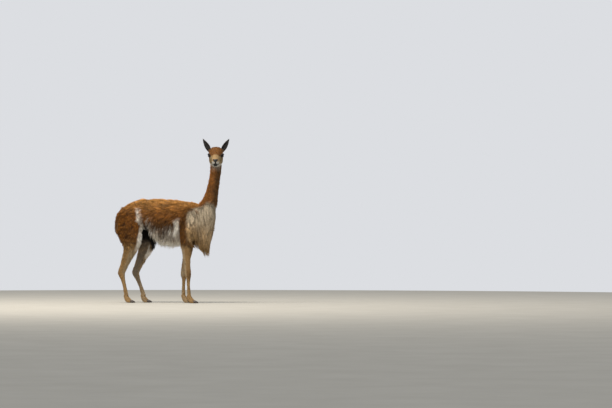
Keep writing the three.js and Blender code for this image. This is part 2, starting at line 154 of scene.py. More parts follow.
HEAD = [
    section((-100, 0, -10), 18, 20, 22),
    section((-90, 0, -12), 44, 46, 50),
    section((-66, 0, -14), 57, 72, 70, (2.6, 2.4)),
    section((-36, 0, -16), 61, 84, 84, (3, 2.9)),
    section((-8, 0, -18), 60, 82, 84, (3, 3)),
    section((18, 0, -20), 54, 67, 78, (2.6, 2.8)),
    section((44, 0, -26), 42, 50, 71, (2.1, 2.5)),
    section((70, 0, -33), 34, 41, 63, (2.2, 2.3)),
    section((92, 0, -40), 31, 37, 55, (2.3, 2.2)),
    section((108, 0, -46), 28, 32, 45, (2.3, 2.2)),
    section((118, 0, -50), 18, 22, 28),
    section((121, 0, -51), 7, 9, 11),
]

# %% [markdown]
# ## Limbs, toes and ears
#
# The photo shows the two sides' legs in different places, as in a slow step, so each limb is
# built on its own joints. A vicuna walks on two toes with a soft pad behind a narrow nail. The
# ears are leaves, and a second, smaller sweep in front of each is cut out to make it hollow.

# %% Limbs
# A joint's place on the right limb, and how far along the body the left one stands from it
FORE_JOINTS = {
    "shoulder": ((296, 74, 790), 0),
    "elbow": ((230, 94, 520), -36),
    "knee": ((248, 79, 248), -102),
    "fetlock": ((256, 77, 84), -113),
}
HIND_JOINTS = {
    "hip": ((-268, 72, 742), 0),
    "stifle": ((-246, 94, 530), 60),
    "hock": ((-362, 76, 262), 65),
    "fetlock": ((-324, 75, 84), 92),
}
# A bone, how far down it, the half width, the reach in front and behind, and a shift forward
FORE_SHAPE = [
    ("shoulder", "elbow", 0, 30, 34, 40, 0),
    ("shoulder", "elbow", 0.25, 44, 64, 74, -2),
    ("shoulder", "elbow", 0.55, 50, 74, 84, 8),
    ("shoulder", "elbow", 0.85, 44, 52, 62, 4),
    ("elbow", "knee", 0.1, 37, 44, 48, 2),
    ("elbow", "knee", 0.4, 31, 38, 40, 2),
    ("elbow", "knee", 0.75, 26, 33, 34, -2),
    ("elbow", "knee", 0.95, 27, 31, 31, 0),
    ("knee", "fetlock", 0.08, 26, 29, 30, 0),
    ("knee", "fetlock", 0.26, 19, 20, 21, 2),
    ("knee", "fetlock", 0.6, 15, 16, 17, 0),
    ("knee", "fetlock", 1, 19, 18, 18, 0),
    ("knee", "fetlock", 1.15, 17, 16, 17, 4),
]
HIND_SHAPE = [
    ("hip", "stifle", 0, 42, 50, 70, 0),
    ("hip", "stifle", 0.25, 60, 100, 98, -6),
    ("hip", "stifle", 0.6, 60, 112, 120, -26),
    ("hip", "stifle", 1, 52, 84, 104, -10),
    ("stifle", "hock", 0.3, 42, 54, 82, 14),
    ("stifle", "hock", 0.58, 34, 48, 48, 0),
    ("stifle", "hock", 0.82, 28, 42, 34, -4),
    ("stifle", "hock", 1, 26, 34, 36, 0),
    ("hock", "fetlock", 0.14, 24, 30, 32, -4),
    ("hock", "fetlock", 0.36, 18, 21, 22, -2),
    ("hock", "fetlock", 0.72, 16, 18, 18, 0),
    ("hock", "fetlock", 1, 20, 19, 20, 0),
    ("hock", "fetlock", 1.15, 18, 17, 18, 4),
]


def limb_sections(joints, shape, side):
    places = {name: np.array(at) * [1, side, 1] for name, (at, step) in joints.items()}
    if side > 0:
        for name, (at, step) in joints.items():
            places[name] = places[name] + [step, 0, 0]
    rows = []
    for start, end, part, half, front, behind, shift in shape:
        at = places[start] * (1 - part) + places[end] * part
        rows.append(section((at[0] + shift, at[1], at[2]), half, front, behind))
    return rows, places["fetlock"]


# %% Toes
# Half the space between two toes, how far they spread, and how far they reach from the fetlock
TOE_APART, TOE_SPLAY, TOE_LENGTH = 13, 5, 78


def toe_sections(fetlock, way):
    def row(ahead, height, aside, *sizes):
        y = fetlock[1] + way * (TOE_APART + aside * TOE_SPLAY)
        return section((fetlock[0] + ahead, y, height), *sizes)

    pad = [
        row(-8, 70, -0.6, 9, 13, 13),
        row(4, 50, -0.3, 12, 17, 20),
        row(18, 28, 0, 13.5, 20, 24),
        row(34, 14, 0.5, 14, 18, 22),
        row(50, 10, 0.9, 12, 12, 16),
        row(62, 8, 1.1, 7, 5, 10),
    ]
    claw = [
        row(42, 16, 0.7, 8, 9, 9),
        row(54, 12, 1, 9.5, 8.5, 10),
        row(68, 7, 1.3, 7.5, 6.5, 8),
        row(TOE_LENGTH, 4, 1.5, 3, 2.5, 4),
    ]
    return pad, claw


# %% Ears
EAR_AT = np.array([-40.0, 53.0, 32.0])
EAR_LEAN = np.array([-30.0, 50.0, 83.0])
EAR_LENGTH = 118
EAR_HALF = 22


def ear_sections(side):
    base = EAR_AT * [1, side, 1]
    reach = EAR_LEAN * [1, side, 1]
    reach = reach / np.linalg.norm(reach) * EAR_LENGTH

    def row(part, ahead, *sizes):
        return section(base + reach * part + [ahead, 0, 0], *sizes)

    leaf = [
        row(-0.12, 0, 13, 12, 12),
        row(0.1, 0, 19, 13, 14),
        row(0.35, 0, EAR_HALF, 11, 13),
        row(0.62, 0, 17, 8, 10),
        row(0.85, 0, 9, 5, 6),
        row(1, 0, 2, 1.5, 1.5),
    ]
    cup = [
        row(0.08, 16, 9, 9, 9),
        row(0.3, 14, 19, 12, 12),
        row(0.55, 12, 16.5, 10, 10),
        row(0.78, 9, 10, 6.5, 7),
        row(0.97, 8, 3, 3, 3),
    ]
    return leaf, cup


# %% [markdown]
# ## Sweeping a form
#
# A form is its table of sections and the coat's depth there, which its skin leaves free. The
# forms could be modelled by hand, but tables of sizes can be measured and put right.

# %% Sweep
def spline(rows, part):
    """Points of the smooth curve through the rows, at parts from 0 to 1."""
    rows = np.asarray(rows, float)
    padded = np.vstack([2 * rows[0] - rows[1], rows, 2 * rows[-1] - rows[-2]])
    place = np.clip(part, 0, 1) * (len(rows) - 1)
    first = np.minimum(place.astype(int), len(rows) - 2)
    t = (place - first)[:, None]
    a, b, c, d = (padded[first + k] for k in range(4))
    return b + 0.5 * t * (c - a + t * (2 * a - 5 * b + 4 * c - d + t * (3 * (b - c) + d - a)))


# How much of the coat's depth looks solid. The skin lies this much of it under the outline
NAP = 0.7
# The least half width, in millimetres, that the inset leaves
THINNEST = 1.5


class Form:
    """A swept body form, in body millimetres."""

    def __init__(self, name, sections, depth=0.0, in_head=False):
        self.name = name
        self.rows = np.array(sections, float)
        self.depth = np.broadcast_to(np.asarray(depth, float), len(sections)).reshape(-1, 1)
        self.in_head = in_head

    def axes(self, part):
        centre = spline(self.rows[:, :3], part)
        near, far = np.clip(part - 1e-3, 0, 1), np.clip(part + 1e-3, 0, 1)
        ahead = spline(self.rows[:, :3], far) - spline(self.rows[:, :3], near)
        pace = np.linalg.norm(ahead, axis=1, keepdims=True) / (far - near)[:, None]
        ahead /= np.linalg.norm(ahead, axis=1, keepdims=True)
        up = np.cross(ahead, [0.0, 1.0, 0.0])
        up /= np.linalg.norm(up, axis=1, keepdims=True)
        aside = np.cross(up, ahead)
        if self.in_head:
            centre = from_head(centre)
            ahead, up, aside = (v @ HEAD_AXES.T for v in (ahead, up, aside))
        return centre, ahead, up, aside, pace[:, 0]

    def surface(self, part, turn, bare=True):
        """Points at parts along and turns round from the top, on the skin or at the coat's tips."""
        centre, ahead, up, aside, _ = self.axes(part)
        side, over, under, upper, lower = spline(self.rows[:, 3:], part).T
        inset = spline(self.depth, part)[:, 0] * NAP if bare else 0
        x, y = np.sin(turn), np.cos(turn)
        power = 2 / np.where(y > 0, upper, lower)
        across = np.sign(x) * np.abs(x) ** power * np.maximum(side - inset, THINNEST)
        along = np.sign(y) * np.abs(y) ** power
        reach = np.maximum(np.where(y > 0, over, under) - inset, THINNEST)
        return centre + aside * across[:, None] + up * (along * reach)[:, None]


# %% Lofts
def loft(bm, form, sides, steps):
    """Adds a closed sweep of the form to the bmesh, in frame metres."""
    rings = []
    for part in np.linspace(0, 1, steps + 1):
        verts = bmesh.ops.create_circle(bm, segments=sides, radius=1)["verts"]
        turns = np.array([math.atan2(v.co.x, v.co.y) for v in verts])
        for v, spot in zip(verts, placed(form.surface(np.full(sides, part), turns))):
            v.co = spot
        rings.append(list({e for v in verts for e in v.link_edges}))
    for near, far in zip(rings, rings[1:]):
        bmesh.ops.bridge_loops(bm, edges=near + far)
    for end in (rings[0], rings[-1]):
        bmesh.ops.contextual_create(bm, geom=end)


def new_object(name, bm):
    bmesh.ops.recalc_face_normals(bm, faces=bm.faces)
    mesh = bpy.data.meshes.new(name)
    bm.to_mesh(mesh)
    bm.free()
    made = bpy.data.objects.new(name, mesh)
    bpy.context.scene.collection.objects.link(made)
    return made


def loft_object(name, forms, sides=28, steps=44):
    bm = bmesh.new()
    for form in forms:
        loft(bm, form, sides, steps)
    return new_object(name, bm)


# %% Melting and cutting
def apply_modifiers(obj):
    """Bakes the object's modifiers into its mesh."""
    graph = bpy.context.evaluated_depsgraph_get()
    baked = bpy.data.meshes.new_from_object(obj.evaluated_get(graph))
    obj.modifiers.clear()
    obj.data = baked


def melt(obj, voxel, rounds, factor=0.5):
    """Fuses an object's closed pieces into one even surface and smooths it."""
    remesh = obj.modifiers.new("Fuse", "REMESH")
    remesh.mode = "VOXEL"
    remesh.voxel_size = voxel * MM
    smooth = obj.modifiers.new("Smooth", "SMOOTH")
    smooth.factor = factor
    smooth.iterations = rounds
    apply_modifiers(obj)


def ball_object(name, half, at, tip=0.0, parts=(24, 14)):
    """A stretched ball in the head's own frame, tipped about its long axis."""
    bm = bmesh.new()
    bmesh.ops.create_uvsphere(bm, u_segments=parts[0], v_segments=parts[1], radius=1)
    bmesh.ops.scale(bm, vec=half, verts=bm.verts)
    turn = Matrix.Rotation(tip, 3, "X")
    bmesh.ops.rotate(bm, cent=(0, 0, 0), matrix=turn, verts=bm.verts)
    for v in bm.verts:
        v.co = placed(from_head(np.array(v.co) + at))
    return new_object(name, bm)


def combine(target, others, operation):
    """Joins the others to the target, or cuts them out of it, and removes them."""
    for other in others:
        change = target.modifiers.new("Change", "BOOLEAN")
        change.operation = operation
        change.solver = "EXACT"
        change.object = other
        apply_modifiers(target)
        bpy.data.objects.remove(other)


def join_to(target, others):
    """Adds the others' meshes to the target's, as pieces of one object."""
    bpy.ops.object.select_all(action="DESELECT")
    for obj in [target, *others]:
        obj.select_set(True)
    bpy.context.view_layer.objects.active = target
    bpy.ops.object.join()


def shade_smooth(mesh):
    mesh.polygons.foreach_set("use_smooth", np.ones(len(mesh.polygons), bool))


# %% [markdown]
# ## The skin
#
# Every form is inset by the coat's depth. The trunk, neck, tail, limbs and toes melt together,
# since hide runs on from one to the next without an edge. The head has finer folds, so it is
# melted by itself, and the two are then joined where the neck's coat lies over both.

# %% Forms
# Coat depths are given for each section, in millimetres
trunk = Form("trunk", TRUNK, [10, 18, 22, 24, 24, 24, 24, 24, 24, 22, 20, 18, 12, 8])
neck = Form("neck", NECK, [22, 22, 20, 17, 15, 14, 13, 12])
tail = Form("tail", TAIL, [5, 7, 9, 8, 5, 2])
head = Form("head", HEAD, [6, 8, 8, 8, 7, 6, 4.5, 3, 2, 1.5, 1.5, 1], in_head=True)
LIMB_DEPTH = [14, 16, 16, 13, 9, 7, 6, 5, 5, 4, 4, 4, 3]
THIGH_DEPTH = [16, 20, 20, 17, 12, 9, 7, 5, 5, 4, 4, 4, 3]
body_forms = [trunk, neck, tail]
claws = {}
for side, handed in ((-1, "right"), (1, "left")):
    for end, joints, shape, depth in (
        ("fore", FORE_JOINTS, FORE_SHAPE, LIMB_DEPTH),
        ("hind", HIND_JOINTS, HIND_SHAPE, THIGH_DEPTH),
    ):
        rows, fetlock = limb_sections(joints, shape, side)
        body_forms.append(Form(f"{handed}_{end}_limb", rows, depth))
        for way, place in ((-side, "inner"), (side, "outer")):
            pad, claw = toe_sections(fetlock, way)
            body_forms.append(Form(f"{handed}_{end}_{place}_toe", pad, 1.5))
            claws[f"{handed}_{end}_{place}_nail"] = Form("claw", claw)
ears = []
ear_cups = []
for side, handed in ((-1, "right"), (1, "left")):
    leaf, cup = ear_sections(side)
    ears.append(Form(f"{handed}_ear", leaf, 1.0, in_head=True))
    ear_cups.append(Form("cup", cup, 0, in_head=True))
print("forms:", len(body_forms) + len(ears) + 1, "and", len(claws), "nails")

# %% Body skin
BODY_VOXEL = 5.6
body = loft_object("body", body_forms, sides=26, steps=40)
melt(body, BODY_VOXEL, 8)
print("body skin:", len(body.data.polygons), "faces")

# %% [markdown]
# ## Eyelids
#
# A vicuna's lids are thin dark rims that lie on the ball. They could be left by the cut for the
# eye, but a sweep from corner to corner keeps one thickness all the way round.

# %% Eyelids
# Half the lid's length and height, its half thickness, and how far forward the eye looks for
# each step that it looks aside
LID_REACH, LID_HEIGHT, LID_THICK, LID_FORWARD = 17, 13.5, 1.8, 0.75


def lid_axes(side):
    """The way an eye looks out, and the level way along its lids."""
    away = math.hypot(LID_FORWARD, 1)
    return np.array([LID_FORWARD, side, 0]) / away, np.array([1, -LID_FORWARD * side, 0]) / away


def lid_form(side, upper):
    """The rim of a lid, an arch from corner to corner of the eye that lies on the eyeball."""
    outward, along = lid_axes(side)
    radius = EYE_RADIUS + 1
    rows = []
    for turn in np.linspace(0.06, math.pi - 0.06, 9):
        a = LID_REACH * math.cos(turn)
        b = (1 if upper else -0.95) * LID_HEIGHT * math.sin(turn)
        out = math.sqrt(max(radius**2 - a**2 - b**2, 1))
        at = eye_at(side) + along * a + outward * out + [0, 0, b]
        thick = LID_THICK * (0.7 + 0.3 * math.sin(turn)) * (1.25 if upper else 1)
        rows.append(section(at, thick, thick, thick))
    return Form("lid", rows, in_head=True)


# %% [markdown]
# ## Mouth
#
# The lips meet in a line that rises a little to its corner under the cheek. A dark stripe would
# do from far off, but a groove with real depth stays dark from every side.

# %% Mouth
# Places along and up in the head's frame, the gap at each end, and the cutter's full width
MOUTH_FRONT, MOUTH_CORNER = (127, -60), (64, -63)
MOUTH_GAP, CORNER_GAP, MOUTH_WIDTH = 5.5, 1.6, 90


def mouth_cutter():
    """A thin wedge between the lips, narrow at the corner of the mouth and open in front."""
    bm = bmesh.new()
    bmesh.ops.create_cube(bm, size=1)
    length = MOUTH_FRONT[0] - MOUTH_CORNER[0]
    for v in bm.verts:
        part = v.co.x + 0.5
        x = MOUTH_CORNER[0] + part * length
        z = MOUTH_CORNER[1] + part * (MOUTH_FRONT[1] - MOUTH_CORNER[1])
        z += v.co.z * (CORNER_GAP + part * (MOUTH_GAP - CORNER_GAP))
        v.co = placed(from_head([x, v.co.y * MOUTH_WIDTH, z]))
    return new_object("mouth", bm)


# %% [markdown]
# ## Head skin
#
# The brow is a soft ridge over the eye, so a ball a little larger than the eye melts into the
# skull. Eye openings, nostrils, ear hollows and mouth are cut after that, and a second, finer
# melt rounds their edges as skin does. The inner form closes the mouth from behind.

# %% Head skin
HEAD_VOXEL, FINE_VOXEL = 2.2, 2.0
# How far the brow stands out from the eyeball, and the half sizes of the opening in front of it
BROW, OPENING = 3.0, (17.5, 17.5, 13.5)
NOSTRIL_AT, NOSTRIL_HALF, NOSTRIL_SLANT = np.array([112.0, 11, -32]), (12, 4.2, 9), 0.75
# How far the gums lie inside the lips, and the space between the eyeball and its socket
GUM_INSET, SOCKET_GAP = 15.0, 0.15
face = loft_object("face", [head] + ears, sides=40, steps=48)
brows = [
    ball_object("brow", [EYE_RADIUS + BROW] * 3, eye_at(side) - [3, 3 * side, -1], parts=(28, 18))
    for side in (-1, 1)
]
join_to(face, brows)
melt(face, HEAD_VOXEL, 2)
for side in (-1, 1):
    opening = ball_object("opening", OPENING, eye_at(side) + [9, 12 * side, 0], parts=(32, 20))
    nostril = ball_object("nostril", NOSTRIL_HALF, NOSTRIL_AT * [1, side, 1], side * NOSTRIL_SLANT)
    combine(face, [opening, nostril], "DIFFERENCE")
combine(face, [loft_object("cup", [cup], 24, 24) for cup in ear_cups], "DIFFERENCE")
combine(face, [mouth_cutter()], "DIFFERENCE")
gums = Form("gums", HEAD[5:], GUM_INSET, in_head=True)
lids = [lid_form(side, upper) for side in (-1, 1) for upper in (True, False)]
join_to(face, [loft_object("inner", [gums] + lids, sides=16, steps=28)])
melt(face, FINE_VOXEL, 3, 0.45)
sockets = [
    ball_object("socket", [EYE_RADIUS + SOCKET_GAP] * 3, eye_at(side), parts=(40, 26))
    for side in (-1, 1)
]
combine(face, sockets, "DIFFERENCE")
print("head skin:", len(face.data.polygons), "faces")

# %% [markdown]
# ## One skin
#
# Head and body become one mesh, so no crack shows where the hair parts at the throat. The pads
# are pressed flat on the ground, as soft pads are under 45 kg.

# %% One skin
# The lowest point of the skin, in millimetres over the ground, and the distance that welds points
SOLE_UP, WELD = 0.5, 0.05
combine(body, [face], "UNION")
skin = body
skin.name = "skin"
skin.data.name = "skin"
tidy = bmesh.new()
tidy.from_mesh(skin.data)
bmesh.ops.triangulate(tidy, faces=[f for f in tidy.faces if len(f.verts) > 4])
bmesh.ops.remove_doubles(tidy, verts=tidy.verts, dist=WELD * MM)
for v in tidy.verts:
    v.co.z = max(v.co.z, SOLE_UP * MM)
tidy.to_mesh(skin.data)
tidy.free()
print("skin:", len(skin.data.polygons), "faces")

# %% [markdown]
# ## Reading the skin
#
# Each point of the skin is told which form it came from, and how far along and round that form
# it lies. From this come its coat's length and lie, its markings and its place in the unwrap.
# The fields are smoothed over the skin, so the coat changes gently from form to form. Painted
# maps could hold the same, but fields stay right when a section's size changes.

# %% Nearest form
all_forms = body_forms + [head] + ears


def kind_of(form):
    for word in ("fore_limb", "hind_limb", "toe", "ear"):
        if form.name.endswith(word):
            return word
    return form.name


KINDS = ["trunk", "neck", "tail", "fore_limb", "hind_limb", "toe", "head", "ear"]


def to_body(places):
    return (np.asarray(places, float) - OFFSET) / MM


def form_samples(parts=70, turns=36):
    """Rows of place, form, part along it and its way ahead, spread over every form."""
    rows = []
    for index, form in enumerate(all_forms):
        part, turn = np.meshgrid(
            np.linspace(0, 1, parts), np.linspace(-math.pi, math.pi, turns, endpoint=False)
        )
        part, turn = part.ravel(), turn.ravel()
        spots = form.surface(part, turn)
        _, ahead, up, aside, _ = form.axes(part)
        rows.append(np.column_stack([spots, np.full(len(part), index), part, ahead]))
    return np.vstack(rows)


# %% Skin points
mesh = skin.data
count = len(mesh.vertices)
coords = np.empty(count * 3)
mesh.vertices.foreach_get("co", coords)
spots = to_body(coords.reshape(-1, 3))
normals = np.empty(count * 3)
mesh.vertices.foreach_get("normal", normals)
normals = normals.reshape(-1, 3)
edges = np.empty(len(mesh.edges) * 2, int)
mesh.edges.foreach_get("vertices", edges)
edges = edges.reshape(-1, 2)

samples = form_samples()
tree = KDTree(len(samples))
for index, spot in enumerate(samples[:, :3]):
    tree.insert(spot, index)
tree.balance()
nearest = np.array([tree.find(spot)[1] for spot in spots])
form_at = samples[nearest, 3].astype(int)
part_at = samples[nearest, 4]
ahead_at = samples[nearest, 5:8]
kind_index = np.array([KINDS.index(kind_of(form)) for form in all_forms])
kind_at = kind_index[form_at]


# %% Fields
def spread(values, rounds):
    """Smooths values given at the skin's points over its edges."""
    values = np.array(values, float)
    flat = values.reshape(count, -1)
    share = np.bincount(edges.ravel(), minlength=count)[:, None]
    for _ in range(rounds):
        total = np.empty_like(flat)
        for column in range(flat.shape[1]):
            near = np.bincount(edges[:, 0], flat[edges[:, 1], column], count)
            far = np.bincount(edges[:, 1], flat[edges[:, 0], column], count)
            total[:, column] = near + far
        flat = 0.4 * flat + 0.6 * total / np.maximum(share, 1)
    return flat.reshape(values.shape)


def ease(low, high, value):
    """0 below low, 1 above high and a smooth step between. Low may be above high."""
    t = np.clip((value - low) / (high - low), 0, 1)
    return t * t * (3 - 2 * t)


kinds = spread(np.eye(len(KINDS))[kind_at], 6)


def kind(name):
    return kinds[:, KINDS.index(name)]


print("skin read:", {name: int((kind_at == i).sum()) for i, name in enumerate(KINDS)})

# %% [markdown]
# ## Uneven wool
#
# Wool never ends in a clean line or keeps one shade. Smooth noise at each point's own place moves
# the marking edges, parts the coat into locks and mottles its colour. A texture would reach only
# the skin, but hair and skin need the same values, so they are worked out once for each point.

# %% Noise
# Sizes of the large and small tatters of a marking's edge, and of a patch of one shade
TATTER, FINE_TATTER, PATCH = 34, 11, 60


def ragged(places, size, seed):
    """Smooth noise of about -1 to 1 with features of the given size in millimetres."""
    step = Vector((seed * 17.3, seed * 5.1, -seed * 9.7))
    return np.array([noise.noise(Vector(p) / size + step) for p in places]) * 1.6


rag = ragged(spots, TATTER, 1) * 0.7 + ragged(spots, FINE_TATTER, 2) * 0.3
mottle = ragged(spots, PATCH, 3)
print("noise: spread", rag.std().round(2))

# %% [markdown]
# ## Where the bib grows
#
# The bib covers the chest and the foot of the neck. Its top edge rises towards the front and
# dips on the breast, and its rear edge runs down at the foreleg.

# %% Bib field
x, y, z = spots.T
head_spots = to_head(spots)
hx, hy, hz = head_spots.T
wide = np.abs(y)
# The bib's rear edge, the height of its top edge there, its rise per millimetre forward, and its
# dip on the breast
BIB_BACK, BIB_TOP, BIB_RISE, BIB_DIP = 254, 770, 0.42, 38
bib_top = BIB_TOP + (x - BIB_BACK) * BIB_RISE - BIB_DIP * ease(0.6, 0.9, normals[:, 0])
upper = kind("trunk") + kind("neck") + kind("fore_limb") * ease(470, 540, z)
below_edge = ease(bib_top + 14, bib_top - 14, z + 26 * rag)
bib = ease(BIB_BACK - 12, BIB_BACK + 16, x + 12 * rag) * below_edge
bib = spread(bib * ease(0.5, 0.8, upper) * ease(470, 520, z), 3)
bib_front = bib * ease(0.1, 0.75, np.cos(np.arctan2(y, x - 290)))
print("bib:", int((bib > 0.5).sum()), "skin points")

# %% [markdown]
# ## Coat length
#
# A vicuna's fleece is 30 to 60 mm on the back and sides, longer low on the flanks, where it
# hangs in a fringe, and short on the face and legs. The numbers below are lengths in millimetres,
# and the eased steps between them are heights, places along the body or ways of the surface.

# %% Coat length
def per_kind(**values):
    return sum(kind(name) * np.asarray(value) for name, value in values.items())


low_flank = ease(710, 620, z) * ease(-120, -80, x) * ease(200, 160, x)
belly = ease(600, 560, z) * ease(0, -0.6, normals[:, 2])
trunk_length = 44 + 16 * ease(840, 720, z) + 62 * low_flank - 36 * belly
haunch = ease(-190, -250, x)
trunk_length -= (16 + 14 * ease(700, 640, z)) * haunch
leg_section = part_at * (len(FORE_SHAPE) - 1)
fore_length = np.interp(leg_section, [0, 3, 5, 7, 9, 12], [44, 30, 18, 14, 12, 10])
hind_length = np.interp(leg_section, [0, 3, 5, 7, 9, 12], [38, 34, 20, 15, 12, 10])
tail_length = np.interp(part_at * (len(TAIL) - 1), [0, 1, 3, 5], [34, 50, 80, 60])
muzzle = ease(40, 100, hx)
cheek = ease(10, -50, hx) * ease(10, -40, hz)
crown = ease(10, -30, hx) * ease(20, 50, hz)
face_length = 11 + 6 * cheek + 9 * crown - 6 * muzzle
ear_length = np.where(part_at < 0.3, 12, 8)
length = per_kind(
    trunk=trunk_length, neck=26 - 8 * ease(980, 1150, z), tail=tail_length,
    fore_limb=fore_length, hind_limb=hind_length, toe=8, head=face_length, ear=ear_length,
)
hang = spread(0.12 + 1.3 * low_flank * kind("trunk") + 0.3 * kind("tail"), 4)
uneven = spread(0.12 + 0.33 * low_flank * kind("trunk"), 4)
depth_at = np.empty(count)
for index, form in enumerate(all_forms):
    mine = form_at == index
    depth_at[mine] = spline(form.depth, part_at[mine])[:, 0]
depth_at = spread(depth_at, 8)
length = spread(length, 6)
print("coat length: mean", length.mean().round(1), "mm, longest", length.max().round(1))

# %% [markdown]
# ## Coat lie
#
# The coat lies back along the body and hangs more the lower it grows. The bib hangs straight
# down. The lie is kept in the plane of the skin, and a tuft's own rise is added when it grows.

# %% Coat lie
down = np.array([0.0, 0.0, -1.0])
sink = ease(860, 640, z)[:, None]
trunk_lie = -ahead_at * (1 - 0.72 * sink) + down * sink
bib_lie = down + np.array([0.25, 0, 0])
head_back = -HEAD_AXES[:, 0]
head_down = -HEAD_AXES[:, 2]
head_lie = head_back + head_down * (0.55 * ease(0, -60, hz) + 0.2)[:, None]
limb_lie = ahead_at + np.array([-0.25, 0, 0]) * ease(500, 640, z)[:, None]
lie = (
    kind("trunk")[:, None] * trunk_lie
    + kind("neck")[:, None] * (-ahead_at + 0.15 * down)
    + kind("head")[:, None] * head_lie
    + (kind("fore_limb") + kind("hind_limb"))[:, None] * limb_lie
    + (kind("tail") + kind("toe") + kind("ear"))[:, None] * ahead_at
)
lie = lie * (1 - bib)[:, None] + bib_lie * bib[:, None]
lie = spread(lie, 10)
lie -= normals * (lie * normals).sum(1, keepdims=True)
lie /= np.maximum(np.linalg.norm(lie, axis=1, keepdims=True), 1e-6)
print("coat lie: mean way", lie.mean(0).round(2))

# %% [markdown]
# ## Markings
#
# The back, neck and outer legs are fawn, painted lighter on top and darker low on the side and
# on the neck's front as light and shade. The bib, belly, inner legs and the fold in front of the
# thigh are white, and the edges between them are ragged because the hair's roots are. The inner
# hind legs are greyed with painted shade, and painted shadow blackens the groin. The face is
# paler than the crown, the nostrils and lips are nearly black, and the insides of the ears are
# painted nearly black as shade. A picture could carry this, but a rule for each marking gives
# hair and skin the same clear colours.

# %% Colours
def linear(code):
    """Scene colour of an sRGB hex code."""
    parts = np.array([int(code[i : i + 2], 16) for i in (1, 3, 5)]) / 255
    return np.where(parts <= 0.04045, parts / 12.92, ((parts + 0.055) / 1.055) ** 2.4)


# The top fawn holds painted light. The low fawn, the neck's front, the grey inner hind leg, the
# inside of the ear and the near black of the groin hold painted shade.
FAWN_TOP_LIT, FAWN_SIDE, FAWN_LOW_SHADED = map(linear, ("#a97a40", "#845420", "#4c300c"))
UPPER_ARM, NECK_FAWN, NECK_FRONT_SHADED = map(linear, ("#6a4418", "#a46c34", "#74522e"))
CREAM, BIB_PALE, BIB_TAN = map(linear, ("#f4ebde", "#bbad95", "#a88a60"))
LEG_SAND, LEG_PALE, INNER_LEG_SHADED = map(linear, ("#9d7c4e", "#b3a387", "#8c7e6c"))
CROWN, NOSE_BRIDGE, CHEEK, LIP_PALE = map(linear, ("#774a12", "#a28458", "#98825a", "#c9c5bb"))
NOSE_DARK, EAR_BACK, EAR_INSIDE_SHADED = map(linear, ("#0c0a09", "#70502c", "#100c0c"))
TAIL_FAWN, TAIL_PALE, GROIN_SHADOW = map(linear, ("#7c5428", "#b08d78", "#120e0b"))


# %% Mixing and streaks
def mix(low, high, share):
    """Colours between two, by each point's share of the second."""
    return low + (high - low) * np.asarray(share)[:, None]


# Widths of a lock and of a bundle of strands in it, before they are drawn out
LOCK_WIDTH, STRAND_WIDTH = 26, 9


def streak_at(places, ways):
    """Ridges and clefts of the coat, drawn out along its lie, of about -1 to 1."""
    along = (places * ways).sum(1, keepdims=True)
    coarse = ragged(places - ways * along * 0.89, LOCK_WIDTH, 4)
    fine = ragged(places - ways * along * 0.8, STRAND_WIDTH, 5)
    return np.clip(0.85 * coarse + 0.4 * fine, -1, 1)


streak = streak_at(spots, lie)
print("streaks: spread", streak.std().round(2))

# %% [markdown]
# ## Trunk colours
#
# Heights and places below are body millimetres again. The fawn is painted lighter on the top of
# the back and darker down the side, partly its own colour and partly painted light and shade,
# and the belly's white climbs towards the thigh.

# %% Trunk colours
# Heights on the white fold in front of the thigh, and where it lies and how wide it is there
FOLD_Z, FOLD_X, FOLD_HALF = [514, 676, 787], [-186, -168, -194], [21, 18, 9]
rx, rz = x + 10 * rag, z + 9 * rag
fold_half = np.interp(z, FOLD_Z, FOLD_HALF)
fold_away = np.abs(x - np.interp(z, FOLD_Z, FOLD_X) + 3 * rag)
fold = ease(fold_half + 5, fold_half - 5, fold_away) * ease(806, 780, rz)
# A painted shadow, near black, in the hollow between the belly and the thigh
groin_shadow = ease(-158, -148, rx) * ease(-88, -110, rx) * ease(690, 664, rz)


def fawn_colours():
    """The back and side: fawn, painted lighter on top and darker with painted shade low down."""
    fawn = mix(FAWN_TOP_LIT, FAWN_SIDE, ease(856, 740, rz))
    fawn = mix(fawn, FAWN_LOW_SHADED, ease(750, 640, rz) * ease(-220, -150, rx))
    return mix(fawn, FAWN_LOW_SHADED, 0.5 * ease(700, 540, rz) * ease(-150, -220, rx))


def trunk_colours():
    fringe_top = 598 + 86 * np.clip((16 - x) / 125, 0, 1.2) ** 2
    white = ease(36, -36, z - fringe_top + 66 * streak + 14 * rag)
    white = white * ease(152, 138, x) * ease(-128, -108, rx)
    colour = mix(fawn_colours(), CREAM, white)
    colour = mix(colour, CREAM, fold)
    colour = mix(colour, GROIN_SHADOW, groin_shadow)
    behind_arm = ease(134, 142, x + 5 * rag) * ease(182, 176, x + 5 * rag) * ease(716, 690, rz)
    colour = mix(colour, CREAM, behind_arm)
    rear = ease(-375, -400, rx) * ease(40, 10, wide) * ease(700, 660, z)
    return mix(colour, CREAM, 0.7 * rear)


# %% [markdown]
# ## Leg colours
#
# The legs are sandy outside and pale inside and in front, and the hind legs' inner sides are
# greyed with painted shade. The upper arm is dark brown, with a white edge behind the elbow,
# and the thigh is white in front, with painted shadow near black in the groin and inner thigh.

# %% Leg colours
# Middle lines of the right legs, as heights and places, and how far the left ones stand from them
FORE_LINE, LEFT_FORE = ([84, 248, 520], [256, 248, 230]), -107
HIND_LINE, LEFT_HIND = ([84, 262, 530, 742], [-324, -362, -246, -268]), 70
KNEE_Z = 250
inner_side = ease(66, 50, wide + 6 * rag)


